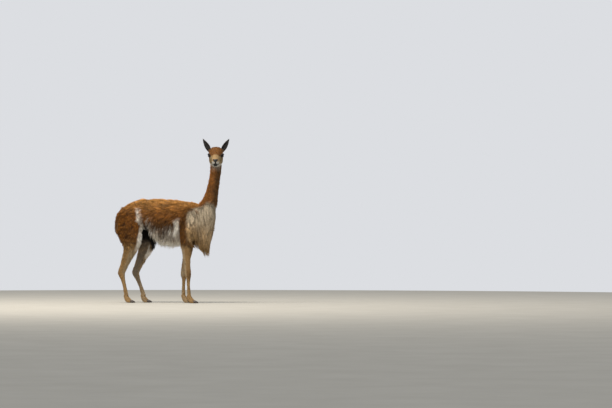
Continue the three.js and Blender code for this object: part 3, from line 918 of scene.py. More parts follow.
def fore_colours():
    front = x - np.interp(z, *FORE_LINE) - LEFT_FORE * (y > 0)
    colour = mix(UPPER_ARM, LEG_SAND, ease(520, 450, rz))
    knee = ease(64, 24, np.abs(z - KNEE_Z)) * ease(-10, 6, front)
    colour = mix(colour, UPPER_ARM, 0.45 * knee)
    behind_elbow = ease(192, 184, x + 5 * rag) * ease(716, 690, rz) * ease(450, 490, rz)
    colour = mix(colour, CREAM, behind_elbow)
    colour = mix(colour, LEG_PALE, 0.55 * ease(4, -12, front) * ease(500, 440, rz))
    return mix(colour, LEG_PALE, 0.85 * inner_side * ease(90, 160, rz))


def hind_colours():
    front = x - np.interp(z, *HIND_LINE) - LEFT_HIND * (y > 0)
    colour = mix(fawn_colours(), LEG_SAND, ease(560, 440, rz))
    thigh_front = ease(44, 60, front + 6 * rag) * ease(420, 470, rz) * ease(570, 520, rz)
    colour = mix(colour, CREAM, 0.8 * thigh_front)
    colour = mix(colour, LEG_PALE, 0.5 * ease(6, 24, front) * ease(470, 430, rz))
    # The pale inner sides of the hind legs are greyed with painted shade.
    colour = mix(colour, INNER_LEG_SHADED, 0.9 * ease(74, 56, wide + 8 * rag) * ease(90, 160, rz))
    # Painted shadow, near black, on the upper inner thigh
    inner_thigh_shadow = ease(82, 66, wide) * ease(500, 545, rz) * ease(-290, -250, rx)
    colour = mix(colour, GROIN_SHADOW, inner_thigh_shadow)
    colour = mix(colour, CREAM, fold * (wide > 60))
    return mix(colour, GROIN_SHADOW, groin_shadow)


# %% [markdown]
# ## Neck, head and tail colours
#
# The throat pales under the chin. The head has a brown cap down to the brows, a buff bridge of
# the nose, pale lips and a dark corner in front of each eye. The tail is pale under and beside.

# %% Neck and head colours
# The dark corner of the eye, towards the nose
TEAR_AT, TEAR_HALF = np.array([28.0, 45, -3]), np.array([13.0, 12, 11])
# The forward-facing hollow of the ear is painted near black as shade.
ear_side = ease(0.15, 0.45, normals @ HEAD_AXES[:, 0])
ear_hollow_shade = kind("ear") * ear_side * ease(0.08, 0.2, part_at)


def neck_colours():
    # The fawn darkens with painted shade where the neck faces forward.
    colour = mix(NECK_FAWN, NECK_FRONT_SHADED, ease(0.1, 0.75, normals[:, 0] + 0.1 * rag))
    throat = ease(1100, 1160, rz) * ease(0.2, 0.9, normals @ HEAD_AXES[:, 0])
    return mix(colour, LIP_PALE, 0.5 * throat)


def head_colours():
    nose_x, side_x = hx + 4 * rag, np.abs(hy) + 3 * rag
    colour = mix(CHEEK, CROWN, ease(-6, 6, hz + 5 * rag) * ease(72, 58, nose_x))
    temple = ease(34, 44, side_x) * ease(10, -20, nose_x) * ease(-50, -20, hz)
    colour = mix(colour, CROWN, temple)
    bridge = ease(56, 68, nose_x) * ease(36, 26, side_x) * ease(-44, -34, hz)
    colour = mix(colour, NOSE_BRIDGE, bridge)
    lip_edge = nose_x + 0.9 * (hz + 50)
    colour = mix(colour, LIP_PALE, ease(76, 104, lip_edge) * ease(-32, -44, hz))
    colour = mix(colour, LIP_PALE, ease(-58, -74, hz + 3 * rag))
    from_tear = (np.column_stack([hx, np.abs(hy), hz]) - TEAR_AT) / TEAR_HALF
    tear = ease(1.2, 0.8, np.linalg.norm(from_tear, axis=1)) * (hx > 0)
    colour = mix(colour, NOSE_DARK, 0.9 * tear)
    return mix(colour, NECK_FAWN, ease(-44, -70, nose_x))


def tail_colours():
    colour = mix(TAIL_FAWN, TAIL_PALE, 0.7 * ease(18, 30, wide + 4 * rag) * ease(690, 660, rz))
    return mix(colour, CREAM, 0.8 * ease(0.4, 0.8, normals[:, 0]) * ease(740, 700, rz))


# %% Coat colour
def markings():
    """The coat's colour at each point of the skin."""
    each = dict(
        trunk=trunk_colours(), neck=neck_colours(), tail=tail_colours(), fore_limb=fore_colours(),
        hind_limb=hind_colours(), toe=mix(LEG_SAND, LEG_PALE, 0.3 * inner_side),
        head=head_colours(), ear=mix(EAR_BACK, EAR_INSIDE_SHADED, ear_hollow_shade),
    )
    colour = sum(kind(name)[:, None] * value for name, value in each.items())
    bib_colour = mix(BIB_PALE, BIB_TAN, ease(740, 580, z + 30 * rag))
    colour = mix(colour, bib_colour, bib)
    return np.clip(colour * (1 + 0.07 * mottle)[:, None], 0.002, 1)


coat_colour = markings()
print("markings: mean", coat_colour.mean(0).round(3))

# %% [markdown]
# ## Bare dark skin
#
# Nose pad, the cleft under it, lips and lid rims are nearly hairless and black. They are fields
# on the same skin, so that the face fur thins out towards them instead of ending at an edge.

# %% Bare skin
side_y = np.abs(hy)
pad_half = np.interp(hz, [-40, -32, -22, -16], [8, 17, 23, 17]) + 2 * rag
nose_pad = ease(94, 102, hx) * ease(pad_half + 3, pad_half - 3, side_y)
nose_pad = nose_pad * ease(-43, -38, hz) * ease(-14, -19, hz)
gap_half = np.interp(hz, [-86, -78, -68, -56, -36], [7, 14, 17, 9, 6]) + 2 * rag
philtrum = ease(96, 104, hx) * ease(gap_half + 3, gap_half - 3, side_y) * ease(-88, -82, hz)
philtrum = philtrum * ease(-32, -36, hz)
lip_line = np.interp(hx, [MOUTH_CORNER[0], MOUTH_FRONT[0]], [MOUTH_CORNER[1], MOUTH_FRONT[1]])
lips = ease(5, 3, np.abs(hz - lip_line)) * ease(60, 74, hx)
lids_dark = np.zeros(count)
for side in (-1, 1):
    out = head_spots - eye_at(side)
    far = np.linalg.norm(out, axis=1)
    gaze, _ = lid_axes(side)
    rim = ease(0.42, 0.56, out @ gaze / far) * ease(EYE_RADIUS + 4, EYE_RADIUS + 2.6, far)
    lids_dark = np.maximum(lids_dark, rim)
bare = np.clip(np.maximum.reduce([nose_pad, philtrum, lips, lids_dark]), 0, 1) * kind("head")
skin_colour = mix(coat_colour * 0.8, NOSE_DARK, bare)
print("bare skin:", int((bare > 0.5).sum()), "points")

# %% [markdown]
# ## Unwrap
#
# Each form is unrolled into a cell of its own on the map, along its length and round its girth.
# A face never straddles a seam, because its corners are unrolled from its own middle.

# %% Map cells
# Shelves of the map, each with its height and the forms that share its width
SHELVES = [
    (0.30, ["trunk"]),
    (0.22, ["neck", "head"]),
    (0.24, ["right_fore_limb", "left_fore_limb", "right_hind_limb", "left_hind_limb"]),
    (0.12, ["tail", "right_ear", "left_ear"]),
    (0.12, [form.name for form in all_forms if form.name.endswith("toe")]),
]
cells = {}
shelf = 0.0
for tall, names in SHELVES:
    for place, name in enumerate(names):
        cells[name] = (place / len(names), shelf, 1 / len(names), tall)
    shelf += tall


# %% Unrolling
def unroll(form, places, middle_turn=None):
    """Map places of body places on one form, and their turns round it."""
    parts = np.linspace(0, 1, 101)
    centre, _, up, aside, _ = form.axes(parts)
    near = np.empty(len(places), int)
    for start in range(0, len(places), 20000):
        block = places[start : start + 20000]
        near[start : start + 20000] = ((block[:, None] - centre) ** 2).sum(2).argmin(1)
    away = places - centre[near]
    turn = np.arctan2((away * aside[near]).sum(1), (away * up[near]).sum(1))
    if middle_turn is not None:
        turn = middle_turn + (turn - middle_turn + math.pi) % (2 * math.pi) - math.pi
    left, low, width, tall = cells[form.name]
    u = left + width * (0.1 + 0.8 * (turn / (2 * math.pi) + 0.5))
    v = low + tall * (0.06 + 0.88 * parts[near])
    return np.column_stack([u, v]), turn


# %% Unwrap
corner_vertex = np.empty(len(mesh.loops), int)
mesh.loops.foreach_get("vertex_index", corner_vertex)
face_size = np.empty(len(mesh.polygons), int)
mesh.polygons.foreach_get("loop_total", face_size)
face_middle = np.empty(len(mesh.polygons) * 3)
mesh.polygons.foreach_get("center", face_middle)
face_middle = to_body(face_middle.reshape(-1, 3))
first_corner = np.cumsum(face_size) - face_size
face_form = form_at[corner_vertex[first_corner]]
corner_face = np.repeat(np.arange(len(face_size)), face_size)
skin_map = np.empty((len(mesh.loops), 2))
for index, form in enumerate(all_forms):
    faces = np.flatnonzero(face_form == index)
    if not len(faces):
        continue
    _, middle_turns = unroll(form, face_middle[faces])
    turn_of = np.zeros(len(face_size))
    turn_of[faces] = middle_turns
    corners = np.flatnonzero(face_form[corner_face] == index)
    places = spots[corner_vertex[corners]]
    skin_map[corners], _ = unroll(form, places, turn_of[corner_face[corners]])
layer = mesh.uv_layers.new(name="OFBake")
layer.data.foreach_set("uv", skin_map.ravel())
print("unwrapped corners:", len(skin_map))


# %% Painted fields
def paint(target, name, colours):
    """Gives a mesh a colour for each of its points."""
    layer = target.color_attributes.new(name=name, type="FLOAT_COLOR", domain="POINT")
    layer.data.foreach_set("color", np.column_stack([colours, np.ones(len(colours))]).ravel())


paint(mesh, "skin_colour", skin_colour)
paint(mesh, "bareness", np.repeat(bare[:, None], 3, 1))
shade_smooth(mesh)

# %% [markdown]
# ## The coat
#
# A tuft is a thin closed spike of three sides that starts under the skin and follows a bent
# path. Paths gather towards a leader, more at the tips than at the roots, so the fleece parts
# into locks. Hair curves would have to be turned into mesh for a library part in the end, so the
# tufts are mesh from the start, made as arrays and joined into a few pieces for each region.

# %% Roots
mesh.calc_loop_triangles()
triangles = np.empty(len(mesh.loop_triangles) * 3, int)
mesh.loop_triangles.foreach_get("vertices", triangles)
triangles = triangles.reshape(-1, 3)
first, second, third = (spots[triangles[:, k]] for k in range(3))
areas = np.linalg.norm(np.cross(second - first, third - first), axis=1) / 2
print("skin area:", (areas.sum() * MM**2).round(3), "square metres")


def roots(weight, amount):
    """Random skin places, as triangles and shares of their corners, where weight says."""
    share = areas * weight[triangles].mean(1)
    picked = rng.choice(len(areas), size=amount, p=share / share.sum())
    r, s = np.sqrt(rng.random(amount)), rng.random(amount)
    return triangles[picked], np.column_stack([1 - r, r * (1 - s), r * s])


def there(values, root):
    """A field's values at the roots."""
    corners, shares = root
    return np.einsum("nk,nk...->n...", shares, values[corners])


def unit(v):
    return v / np.maximum(np.linalg.norm(v, axis=-1, keepdims=True), 1e-9)


# %% Leg guards
# Round rods along the forelegs that the bib's hair falls around, a little inside their outline
GUARD_INSET = 6
guard_ends = []
for form in body_forms:
    if form.name.endswith("fore_limb"):
        rows = spline(form.rows, np.linspace(0.2, 0.7, 7))
        for near, far in zip(rows, rows[1:]):
            guard_ends.append((near[:3], far[:3], (near[3] + near[4]) / 2 - GUARD_INSET))


def clear_of_legs(paths):
    for start, end, radius in guard_ends:
        along = end - start
        t = np.clip(((paths - start) @ along) / (along @ along), 0, 1)
        away = paths - (start + t[..., None] * along)
        gap = np.linalg.norm(away, axis=-1, keepdims=True)
        paths = paths + away / np.maximum(gap, 1e-6) * np.clip(radius - gap, 0, 20)
    return paths


# %% Growing
def grow(root, steps, droop=0.0, sway=9, lift=1.0, long=None, falls=False, part_in=1.0, relief=0.4):
    """Paths of tufts in body millimetres, from under the skin to their tips.

    Droop bends them down, sway turns them aside in degrees, lift raises them, part_in turns them
    away from clefts, and relief raises them on ridges.
    """
    place, normal, along = there(spots, root), unit(there(normals, root)), there(lie, root)
    amount = len(place)
    long = there(length, root) if long is None else long
    deep, sag = there(depth_at, root), there(hang, root)
    across = np.cross(normal, along)
    ridge = there(streak, root)
    slope = streak_at(place + across * 3, along) - streak_at(place - across * 3, along)
    swirl = np.radians(sway) * rng.standard_normal(amount) + np.clip(slope * part_in, -0.5, 0.5)
    along = unit(along * np.cos(swirl)[:, None] + across * np.sin(swirl)[:, None])
    long = long * (1 + there(uneven, root) * ridge)
    rise = np.arcsin(np.clip(deep * lift / long, 0.06, 0.9)) * rng.uniform(0.75, 1.15, amount)
    rise = rise * (1 + relief * ridge)
    paths = np.empty((amount, steps + 1, 3))
    paths[:, 0] = place - normal * np.minimum(2.0, deep * 0.3)[:, None]
    for k in range(steps):
        s = (k + 0.5) / steps
        angle = rise * (1.45 - 0.9 * s)
        way = along * np.cos(angle)[:, None] + normal * np.sin(angle)[:, None]
        way = unit(way + down * ((droop + sag) * s)[:, None] * (3 if falls else 1))
        paths[:, k + 1] = paths[:, k] + way * (long / steps)[:, None]
    return paths, normal


# %% Locks
def gather(paths, spacing, hold, places):
    """Draws the tips of tufts together into locks with the given spacing."""
    amount = len(paths)
    leaders = rng.choice(amount, max(int(amount * spacing), 8), replace=False)
    lead_tree = KDTree(len(leaders))
    for index, leader in enumerate(leaders):
        lead_tree.insert(places[leader], int(leader))
    lead_tree.balance()
    lead = np.array([lead_tree.find(p)[1] for p in places])
    s = np.linspace(0, 1, paths.shape[1])[None, :, None]
    return paths + (paths[lead] - paths) * hold * s**1.3, lead


# %% Tuft meshes
# A tuft's share of its full width, at parts from its root to its tip
PROFILE = [(0, 0.75), (0.25, 1), (0.5, 0.85), (0.75, 0.55), (0.9, 0.3), (1, 0.1)]
# The side of one tuft's patch on the map
TUFT_MAP = 0.003


def tuft_object(name, paths, normal, half, colours, maps, material):
    """One mesh of many three-sided tufts. A path's last point is its tip."""
    amount, rings = paths.shape[0], paths.shape[1] - 1
    s = np.arange(rings) / rings
    width = np.interp(s, *zip(*PROFILE))
    tangent = unit(np.gradient(paths, axis=1))[:, :rings]
    side = unit(np.cross(tangent, normal[:, None]))
    over = np.cross(side, tangent)
    size = (half[:, None] * width)[..., None]
    ring = paths[:, :rings, None] + np.stack([-side * size, side * size, over * size * 0.8], axis=2)
    points = np.concatenate([ring.reshape(amount, -1, 3), paths[:, -1:]], axis=1)
    per = points.shape[1]
    faces = [(0, 2, 1)]
    for k in range(rings - 1):
        for j in range(3):
            i, n = 3 * k, (j + 1) % 3
            faces.append((i + j, i + n, i + 3 + n, i + 3 + j))
    last = 3 * (rings - 1)
    faces += [(last + j, last + (j + 1) % 3, per - 1) for j in range(3)]
    corners = np.concatenate(faces)
    sizes = np.array([len(f) for f in faces])
    made = bpy.data.meshes.new(name)
    made.vertices.add(amount * per)
    made.vertices.foreach_set("co", placed(points.reshape(-1, 3)).ravel())
    loops = (np.arange(amount)[:, None] * per + corners).ravel()
    made.loops.add(len(loops))
    made.loops.foreach_set("vertex_index", loops)
    made.polygons.add(amount * len(faces))
    starts = np.cumsum(np.tile(sizes, amount)) - np.tile(sizes, amount)
    made.polygons.foreach_set("loop_start", starts)
    made.update(calc_edges=True)
    shade_smooth(made)
    share = np.append(np.repeat(s, 3), 1)
    paint(made, "coat_colour", colours(share).reshape(-1, 3))
    patch = np.column_stack([np.append(np.tile([-0.4, 0.4, 0.1], rings), 0), share - 0.5])[corners]
    layer = made.uv_layers.new(name="OFBake")
    layer.data.foreach_set("uv", (maps[:, None] + patch * TUFT_MAP).reshape(-1))
    made.materials.append(material)
    obj = bpy.data.objects.new(name, made)
    bpy.context.scene.collection.objects.link(obj)
    return obj


# %% [markdown]
# ## Finishes
#
# Each finish takes its colour from the points of its mesh, or from two tones, and flecks of noise
# break it up. A strand of vicuna wool is about a hundredth of a millimetre thick, too fine to show,
# so the flecks that stand for strands are drawn 1 to 4 mm wide.

# %% Nodes
def node(tree, kind_name, inputs=None, **settings):
    """Adds a node, or finds the shader by its name. An input given as an output is linked."""
    made = tree.nodes.get(kind_name) or tree.nodes.new(kind_name)
    for key, value in settings.items():
        setattr(made, key, value)
    for key, value in (inputs or {}).items():
        if isinstance(value, bpy.types.NodeSocket):
            tree.links.new(value, made.inputs[key])
        else:
            made.inputs[key].default_value = value
    return made


def new_material(name):
    material = bpy.data.materials.new(name)
    material.use_nodes = True
    return material, material.node_tree


# %% [markdown]
# ## Fur finishes
#
# Vicuna wool is very fine and scatters light, so it hardly shines. A hair shader would need
# curves, while a rough surface with a faint sheen gives mesh tufts the same soft look.

# %% Fur finishes
def fur(name, roughness, fleck_size):
    """Hair whose colour comes from its points, with lighter and darker flecks of a size in mm."""
    material, tree = new_material(name)
    own = node(tree, "ShaderNodeAttribute", attribute_name="coat_colour")
    where = node(tree, "ShaderNodeTexCoord")
    flecks = node(tree, "ShaderNodeTexNoise", {
        "Vector": where.outputs["Object"], "Scale": 1 / (fleck_size * MM),
        "Detail": 3, "Roughness": 0.6,
    })
    shade = node(tree, "ShaderNodeMapRange", {
        "Value": flecks.outputs["Fac"], "From Min": 0.3, "From Max": 0.7,
        "To Min": 0.75, "To Max": 1.25,
    })
    tint = node(tree, "ShaderNodeVectorMath", {
        "Vector": own.outputs["Color"], "Scale": shade.outputs["Result"],
    }, operation="SCALE")
    node(tree, "Principled BSDF", {
        "Base Color": tint.outputs["Vector"], "Roughness": roughness,
        "Sheen Weight": 0.06, "Sheen Roughness": 0.5, "Specular IOR Level": 0.12,
    })
    return material


# Matt fine wool, which gives the eye a soft body without highlights
fleece = fur("fawn_fleece", 0.85, 2.38)
# Coarser, straighter hair with a little more shine, which sets the bib apart from the fleece
bib_hair = fur("pale_bib_hair", 0.75, 3.85)
# Short close hair, which shows the shape of bone and tendon under it
leg_fur = fur("short_leg_fur", 0.8, 1.67)
# The finest hair, which keeps the face smooth
face_fur = fur("short_face_fur", 0.8, 1.43)
print("fur finishes:", [finish.name for finish in (fleece, bib_hair, leg_fur, face_fur)])

# %% [markdown]
# ## Skin finish
#
# Where hair parts, the skin shows as a darker ground of the same colour. The bare nose, lips and
# lids are smoother and damp, so one finish runs from matt to slightly glossy with the bareness.

# %% Skin finish
# Matt hide under the fur, which fills the partings, and damp black skin where it is bare
skin_finish, tree = new_material("skin_under_fur")
own = node(tree, "ShaderNodeAttribute", attribute_name="skin_colour")
bare_part = node(tree, "ShaderNodeAttribute", attribute_name="bareness")
where = node(tree, "ShaderNodeTexCoord")
GRAIN, GRAIN_HEIGHT = 1.61, 1.2
grain = node(tree, "ShaderNodeTexNoise", {
    "Vector": where.outputs["Object"], "Scale": 1 / (GRAIN * MM), "Detail": 5, "Roughness": 0.7,
})
bump = node(tree, "ShaderNodeBump", {
    "Height": grain.outputs["Fac"], "Strength": 0.8, "Distance": GRAIN_HEIGHT * MM,
})
shade = node(tree, "ShaderNodeMapRange", {
    "Value": grain.outputs["Fac"], "To Min": 0.75, "To Max": 1.2,
})
tint = node(tree, "ShaderNodeVectorMath", {
    "Vector": own.outputs["Color"], "Scale": shade.outputs["Result"],
}, operation="SCALE")
damp = node(tree, "ShaderNodeMapRange", {
    "Value": bare_part.outputs["Fac"], "To Min": 0.85, "To Max": 0.55,
})
node(tree, "Principled BSDF", {
    "Base Color": tint.outputs["Vector"], "Roughness": damp.outputs["Result"],
    "Normal": bump.outputs["Normal"],
})
skin.data.materials.clear()
skin.data.materials.append(skin_finish)
print("skin finish:", skin_finish.name)

# %% [markdown]
# ## Making a coat piece
#
# A tuft takes the colour of the skin that its middle and tip lie over, so a marking's edge is
# where the hair ends and not where it starts. Each lock and each tuft has a shade of its own. Tufts
# in clefts are painted darker with shade and tufts on ridges lighter with painted light, and each
# tuft darkens towards its root with painted shade.

# %% Tuft colours
skin_tree = KDTree(count)
for index, spot in enumerate(spots):
    skin_tree.insert(spot, index)
skin_tree.balance()


def skin_under(places):
    """Indices of the skin points nearest to the places."""
    return np.array([skin_tree.find(spot)[1] for spot in places])


def map_of(root, place):
    """Map places of roots, which lie on the form that owns the skin there."""
    owner = form_at[root[0][:, 0]]
    maps = np.empty((len(place), 2))
    for index, form in enumerate(all_forms):
        mine = owner == index
        if mine.any():
            maps[mine], _ = unroll(form, place[mine])
    return maps


# %% Coat pieces
# Hair stays this far over the ground, and a piece stays under this many triangles
LOWEST_HAIR, MOST_TRIANGLES = 3, 190000


def coat(
    name, weight, amount, rings, half, material,
    spacing=0.1, hold=0.45, contrast=0.28, reach=None, comb=None, **habit,
):
    """Grows one region's tufts and returns them as pieces of under 200,000 triangles."""
    root = roots(weight, amount)
    if reach is not None:
        habit["long"] = reach(root)
    paths, normal = grow(root, rings, **habit)
    place = there(spots, root)
    paths, lead = gather(paths, spacing, hold, place)
    if comb is not None:
        paths = comb(paths)
    paths[..., 2] = np.maximum(paths[..., 2], LOWEST_HAIR)
    base = coat_colour[skin_under(paths[:, rings // 2])]
    ended = coat_colour[skin_under(paths[:, -1])]
    lock_shade = (0.86 + 0.28 * rng.random(amount))[lead]
    own_shade = 0.86 + 0.28 * rng.random(amount)
    # Tufts in clefts get painted shade and tufts on ridges painted light, by contrast times the
    # streak. The lock and tuft shades are random tone.
    lit = lock_shade * own_shade * (1 + contrast * np.clip(there(streak, root), -0.9, 0.9))
    base = base * lit[:, None]
    bright = (0.4 * base + 0.6 * ended * lit[:, None]) * 1.1
    halves = there(half, root) * rng.uniform(0.8, 1.2, amount)
    maps = map_of(root, place)
    per_tuft = 6 * (rings - 1) + 4
    pieces = []
    most = MOST_TRIANGLES // per_tuft
    order = np.argsort(place[:, 0] + 0.01 * place[:, 2])
    for number, mine in enumerate(np.array_split(order, math.ceil(amount / most))):

        def colours(share, mine=mine):
            # Each tuft darkens towards its root, painted shade deep in the coat.
            dark = (0.5 + 0.5 * ease(0, 0.5, share))[None, :, None]
            pale = ease(0.45, 1, share)[None, :, None]
            return np.clip((base[mine, None] * (1 - pale) + bright[mine, None] * pale) * dark, 0, 1)

        own = (paths[mine], normal[mine], halves[mine], colours, maps[mine])
        pieces.append(tuft_object(f"{name}_{number + 1}", *own, material))
    print(name, amount, "tufts,", amount * per_tuft, "triangles in", len(pieces), "pieces")
    return pieces


# %% [markdown]
# ## Fleece
#
# The fleece is dense wool that parts into locks along the back and hangs ragged on the flank.
# One coat covers trunk and upper legs, so no seam shows where a limb joins. The neck's wool is
# shorter and more even, so its clefts get less painted shade and its locks hold less.

# %% Fleece
# Half widths of a tuft in millimetres. A tuft stands for a bundle of strands
thin = per_kind(
    trunk=1.9, neck=1.35, tail=1.8, fore_limb=1.2, hind_limb=1.3, toe=0.8, head=0.75, ear=0.7
)
thin = thin * np.interp(length, [4, 10, 20, 40], [0.6, 0.75, 0.9, 1])
on_upper_legs = kind("fore_limb") * ease(420, 520, z) + kind("hind_limb") * ease(420, 500, z)
on_fleece = kind("trunk") * (1 - bib) + on_upper_legs * (1 - bib)
coats = {}
coats["fleece"] = coat("fleece", on_fleece, 35000, 3, thin, fleece, contrast=0.75, relief=0.45)
on_neck = kind("neck") * (1 - bib)
coats["neck_fleece"] = coat(
    "neck_fleece", on_neck, 12000, 3, thin, fleece, hold=0.25, contrast=0.4, sway=7
)

# %% [markdown]
# ## Bib
#
# The bib is long straight hair that hangs off the chest to a point in front of the forelegs. It
# could be shaped as one solid lock, but single strands that end at different heights give it a
# thin, broken edge.

# %% Bib
# Lengths in millimetres of the hair at the bib's sides, and of its longest
BIB_SHORT, BIB_LONG = 64, 270


def bib_reach(root):
    """Length of the bib's hair, from where its tips hang to."""
    rx, ry, rz = there(spots, root).T
    tips = np.maximum(rz * 1.47 - 540, 366 + 0.85 * np.clip(402 - rx, 0, 200) + 0.4 * np.abs(ry))
    full = np.clip((rz - tips) * 1.12, 50, BIB_LONG)
    front = there(bib_front, root)
    return (BIB_SHORT + (full - BIB_SHORT) * front) * rng.uniform(0.55, 1.0, len(rx)) ** 0.4


# Where the bib's front edge and its pointed end lie, as heights and places along the body
BIB_EDGE = [(380, 404), (493, 403), (586, 420), (701, 450), (803, 458)]
BIB_POINT = [(380, 414), (450, 392), (520, 368)]


def bib_fall(paths):
    """Draws the low ends of the bib's hair to one point and keeps it off the forelegs."""
    paths = clear_of_legs(paths)
    height = paths[..., 2]
    drawn = 0.62 * ease(540, 400, height) * np.linspace(0, 1, paths.shape[1])
    paths[..., 0] += drawn * (np.interp(height, *zip(*BIB_POINT)) - paths[..., 0])
    paths[..., 1] *= 1 - 0.8 * drawn
    edge = np.interp(height, *zip(*BIB_EDGE)) - np.abs(5 * rng.standard_normal(len(paths)))[:, None]
    paths[..., 0] = np.minimum(paths[..., 0], edge)
    return paths


coats["bib"] = coat(
    "bib", bib, 8500, 5, thin * 0.85, bib_hair, spacing=0.04, hold=0.6, droop=0.4, lift=1.2,
    falls=True, reach=bib_reach, comb=bib_fall, sway=4, contrast=0.8,
)

# %% [markdown]
# ## Tail, leg, face and ear hair
#
# The tail's hair is long and hides its root. Leg and face fur is short and close, and would pass
# for paint from far off, but near the edge of a leg it makes the outline soft. It thins out to
# nothing at the nails and at the bare skin of nose, lips and lids.

# %% Short hair
furred = 1 - np.clip(bare * 1.4, 0, 1)
on_lower_legs = kind("fore_limb") * ease(500, 420, z) + kind("hind_limb") * ease(480, 420, z)
on_lower_legs *= 1 + 1.4 * ease(320, 160, z)
on_toes = 2.4 * kind("toe") * ease(7, 16, z)
coats["tail_hair"] = coat("tail_hair", kind("tail"), 1900, 4, thin, fleece)
coats["leg_fur"] = coat(
    "leg_fur", on_lower_legs + on_toes, 13000, 3, thin, leg_fur,
    hold=0.25, lift=0.85, contrast=0.2, part_in=0.5,
)
coats["face_fur"] = coat(
    "face_fur", kind("head") * furred, 14000, 3, thin, face_fur,
    hold=0.2, lift=0.75, sway=7, contrast=0.18, part_in=0.5,
)
coats["ear_fur"] = coat(
    "ear_fur", kind("ear") * furred, 2500, 3, thin, face_fur, hold=0.3, contrast=0.1, part_in=0.3
)

# %% [markdown]
# ## Lashes
#
# A vicuna has long dark upper lashes that keep dust out. They are tufts like the rest, but set
# one by one along the lid, since chance would leave gaps in so short a row.

# %% Lashes
# How many lashes each eye has, and their length and half width in millimetres
LASHES, LASH_LENGTH, LASH_HALF = 26, 8, 0.4


def lash_paths(side):
    """Lashes along the upper lid. They leave it outwards, droop and turn up at the tips."""
    outward, along = lid_axes(side)
    turn = np.linspace(0.3, math.pi - 0.3, LASHES) + 0.03 * rng.standard_normal(LASHES)
    a, b = LID_REACH * np.cos(turn), (LID_HEIGHT + 1.5) * np.sin(turn)
    out = np.sqrt((EYE_RADIUS + 1) ** 2 - a**2 - b**2)
    base = eye_at(side) + np.outer(a, along) + np.outer(out, outward) + np.outer(b, [0, 0, 1])
    fan = unit(outward + 0.5 * np.outer(np.cos(turn), along))
    long = LASH_LENGTH * rng.uniform(0.75, 1.1, LASHES)[:, None]
    steps = [(0, 0), (0.35, -0.06), (0.7, -0.1), (1, -0.02)]
    points = np.stack([base + fan * long * far + long * [0, 0, up] for far, up in steps], axis=1)
    return from_head(points), from_head(base + outward) - from_head(base)


both = [lash_paths(side) for side in (-1, 1)]
paths, facing = (np.concatenate(parts) for parts in zip(*both))
lash_maps, _ = unroll(head, paths[:, 0])
lashes = tuft_object(
    "lashes", paths, facing, np.full(len(paths), LASH_HALF),
    lambda share: np.tile(NOSE_DARK, (len(paths), len(share), 1)), lash_maps, face_fur,
)
coats["lashes"] = [lashes]
print("lashes:", len(paths))

# %% [markdown]
# ## Eyes
#
# The eyes are large and almost black, with a brown iris and a level slit of a pupil that the
# wet cornea hides from most sides. The cornea could be a clear shell of its own, but at this size
# a thin glossy coat on one ball gives the same small highlight.

# %% Eyes
# A dark ball under a wet coat, which gives the face one sharp small light
eye_finish, tree = new_material("dark_wet_eye")
own = node(tree, "ShaderNodeAttribute", attribute_name="eye_colour")
where = node(tree, "ShaderNodeTexCoord")
IRIS_FIBRE = 0.667
fibres = node(tree, "ShaderNodeTexNoise", {
    "Vector": where.outputs["Object"], "Scale": 1 / (IRIS_FIBRE * MM), "Detail": 3,
})
shade = node(tree, "ShaderNodeMapRange", {
    "Value": fibres.outputs["Fac"], "To Min": 0.6, "To Max": 1.4,
})
tint = node(tree, "ShaderNodeVectorMath", {
    "Vector": own.outputs["Color"], "Scale": shade.outputs["Result"],
}, operation="SCALE")
node(tree, "Principled BSDF", {
    "Base Color": tint.outputs["Vector"], "Roughness": 0.14, "Coat Weight": 0.16,
    "Coat Roughness": 0.05, "Specular IOR Level": 0.12,
})
IRIS, PUPIL, EYE_EDGE = map(linear, ("#23150c", "#030405", "#0f0b09"))
for side, handed in ((-1, "right"), (1, "left")):
    radius = EYE_RADIUS - SOCKET_GAP
    ball = ball_object(f"{handed}_eyeball", [radius] * 3, eye_at(side), parts=(48, 32))
    ball_places = np.array([v.co[:] for v in ball.data.vertices])
    out = to_head(to_body(ball_places)) - eye_at(side)
    gaze, level = lid_axes(side)
    along, above = out @ level / EYE_RADIUS, out[:, 2] / EYE_RADIUS
    iris = ease(0.78, 0.7, np.hypot(along, above))
    pupil = ease(1.1, 0.9, np.hypot(along / 0.5, above / 0.22))
    seen = (out @ gaze > 0).astype(float)
    colour = mix(mix(EYE_EDGE[None], IRIS, iris * seen), PUPIL, pupil * seen)
    paint(ball.data, "eye_colour", colour)
    shade_smooth(ball.data)
    ball.data.materials.append(eye_finish)
    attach(ball, "root")
    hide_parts(f"{handed}_eye")
print("eyeballs:", round(2 * radius, 1), "mm across")

# %% [markdown]
# ## Nails
#
# Each toe ends in a narrow dark nail of horn, which grows in bands and is worn matt. It is a
# sweep of its own, let into the toe, because horn meets skin in a clear edge.

# %% Nails
# Worn horn, half matt, with uneven brown bands that keep it from looking like plastic
nail_finish, tree = new_material("dark_horn_nail")
where = node(tree, "ShaderNodeTexCoord")
BAND, BAND_HEIGHT = 6.25, 0.6
bands = node(tree, "ShaderNodeTexNoise", {
    "Vector": where.outputs["Object"], "Scale": 1 / (BAND * MM), "Detail": 5, "Roughness": 0.65,
})
tones = node(tree, "ShaderNodeValToRGB", {"Fac": bands.outputs["Fac"]})
tones.color_ramp.elements[0].color = (*linear("#1d1916"), 1)
tones.color_ramp.elements[1].color = (*linear("#4b4038"), 1)
bump = node(tree, "ShaderNodeBump", {
    "Height": bands.outputs["Fac"], "Strength": 0.4, "Distance": BAND_HEIGHT * MM,
})
node(tree, "Principled BSDF", {
    "Base Color": tones.outputs["Color"], "Roughness": 0.45, "Normal": bump.outputs["Normal"],
})
for name, form in claws.items():
    nail = loft_object(f"{name}_horn", [form], sides=16, steps=18)
    shade_smooth(nail.data)
    nail.data.materials.append(nail_finish)
    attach(nail, "root")
    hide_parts(name)
print("nails:", len(claws))

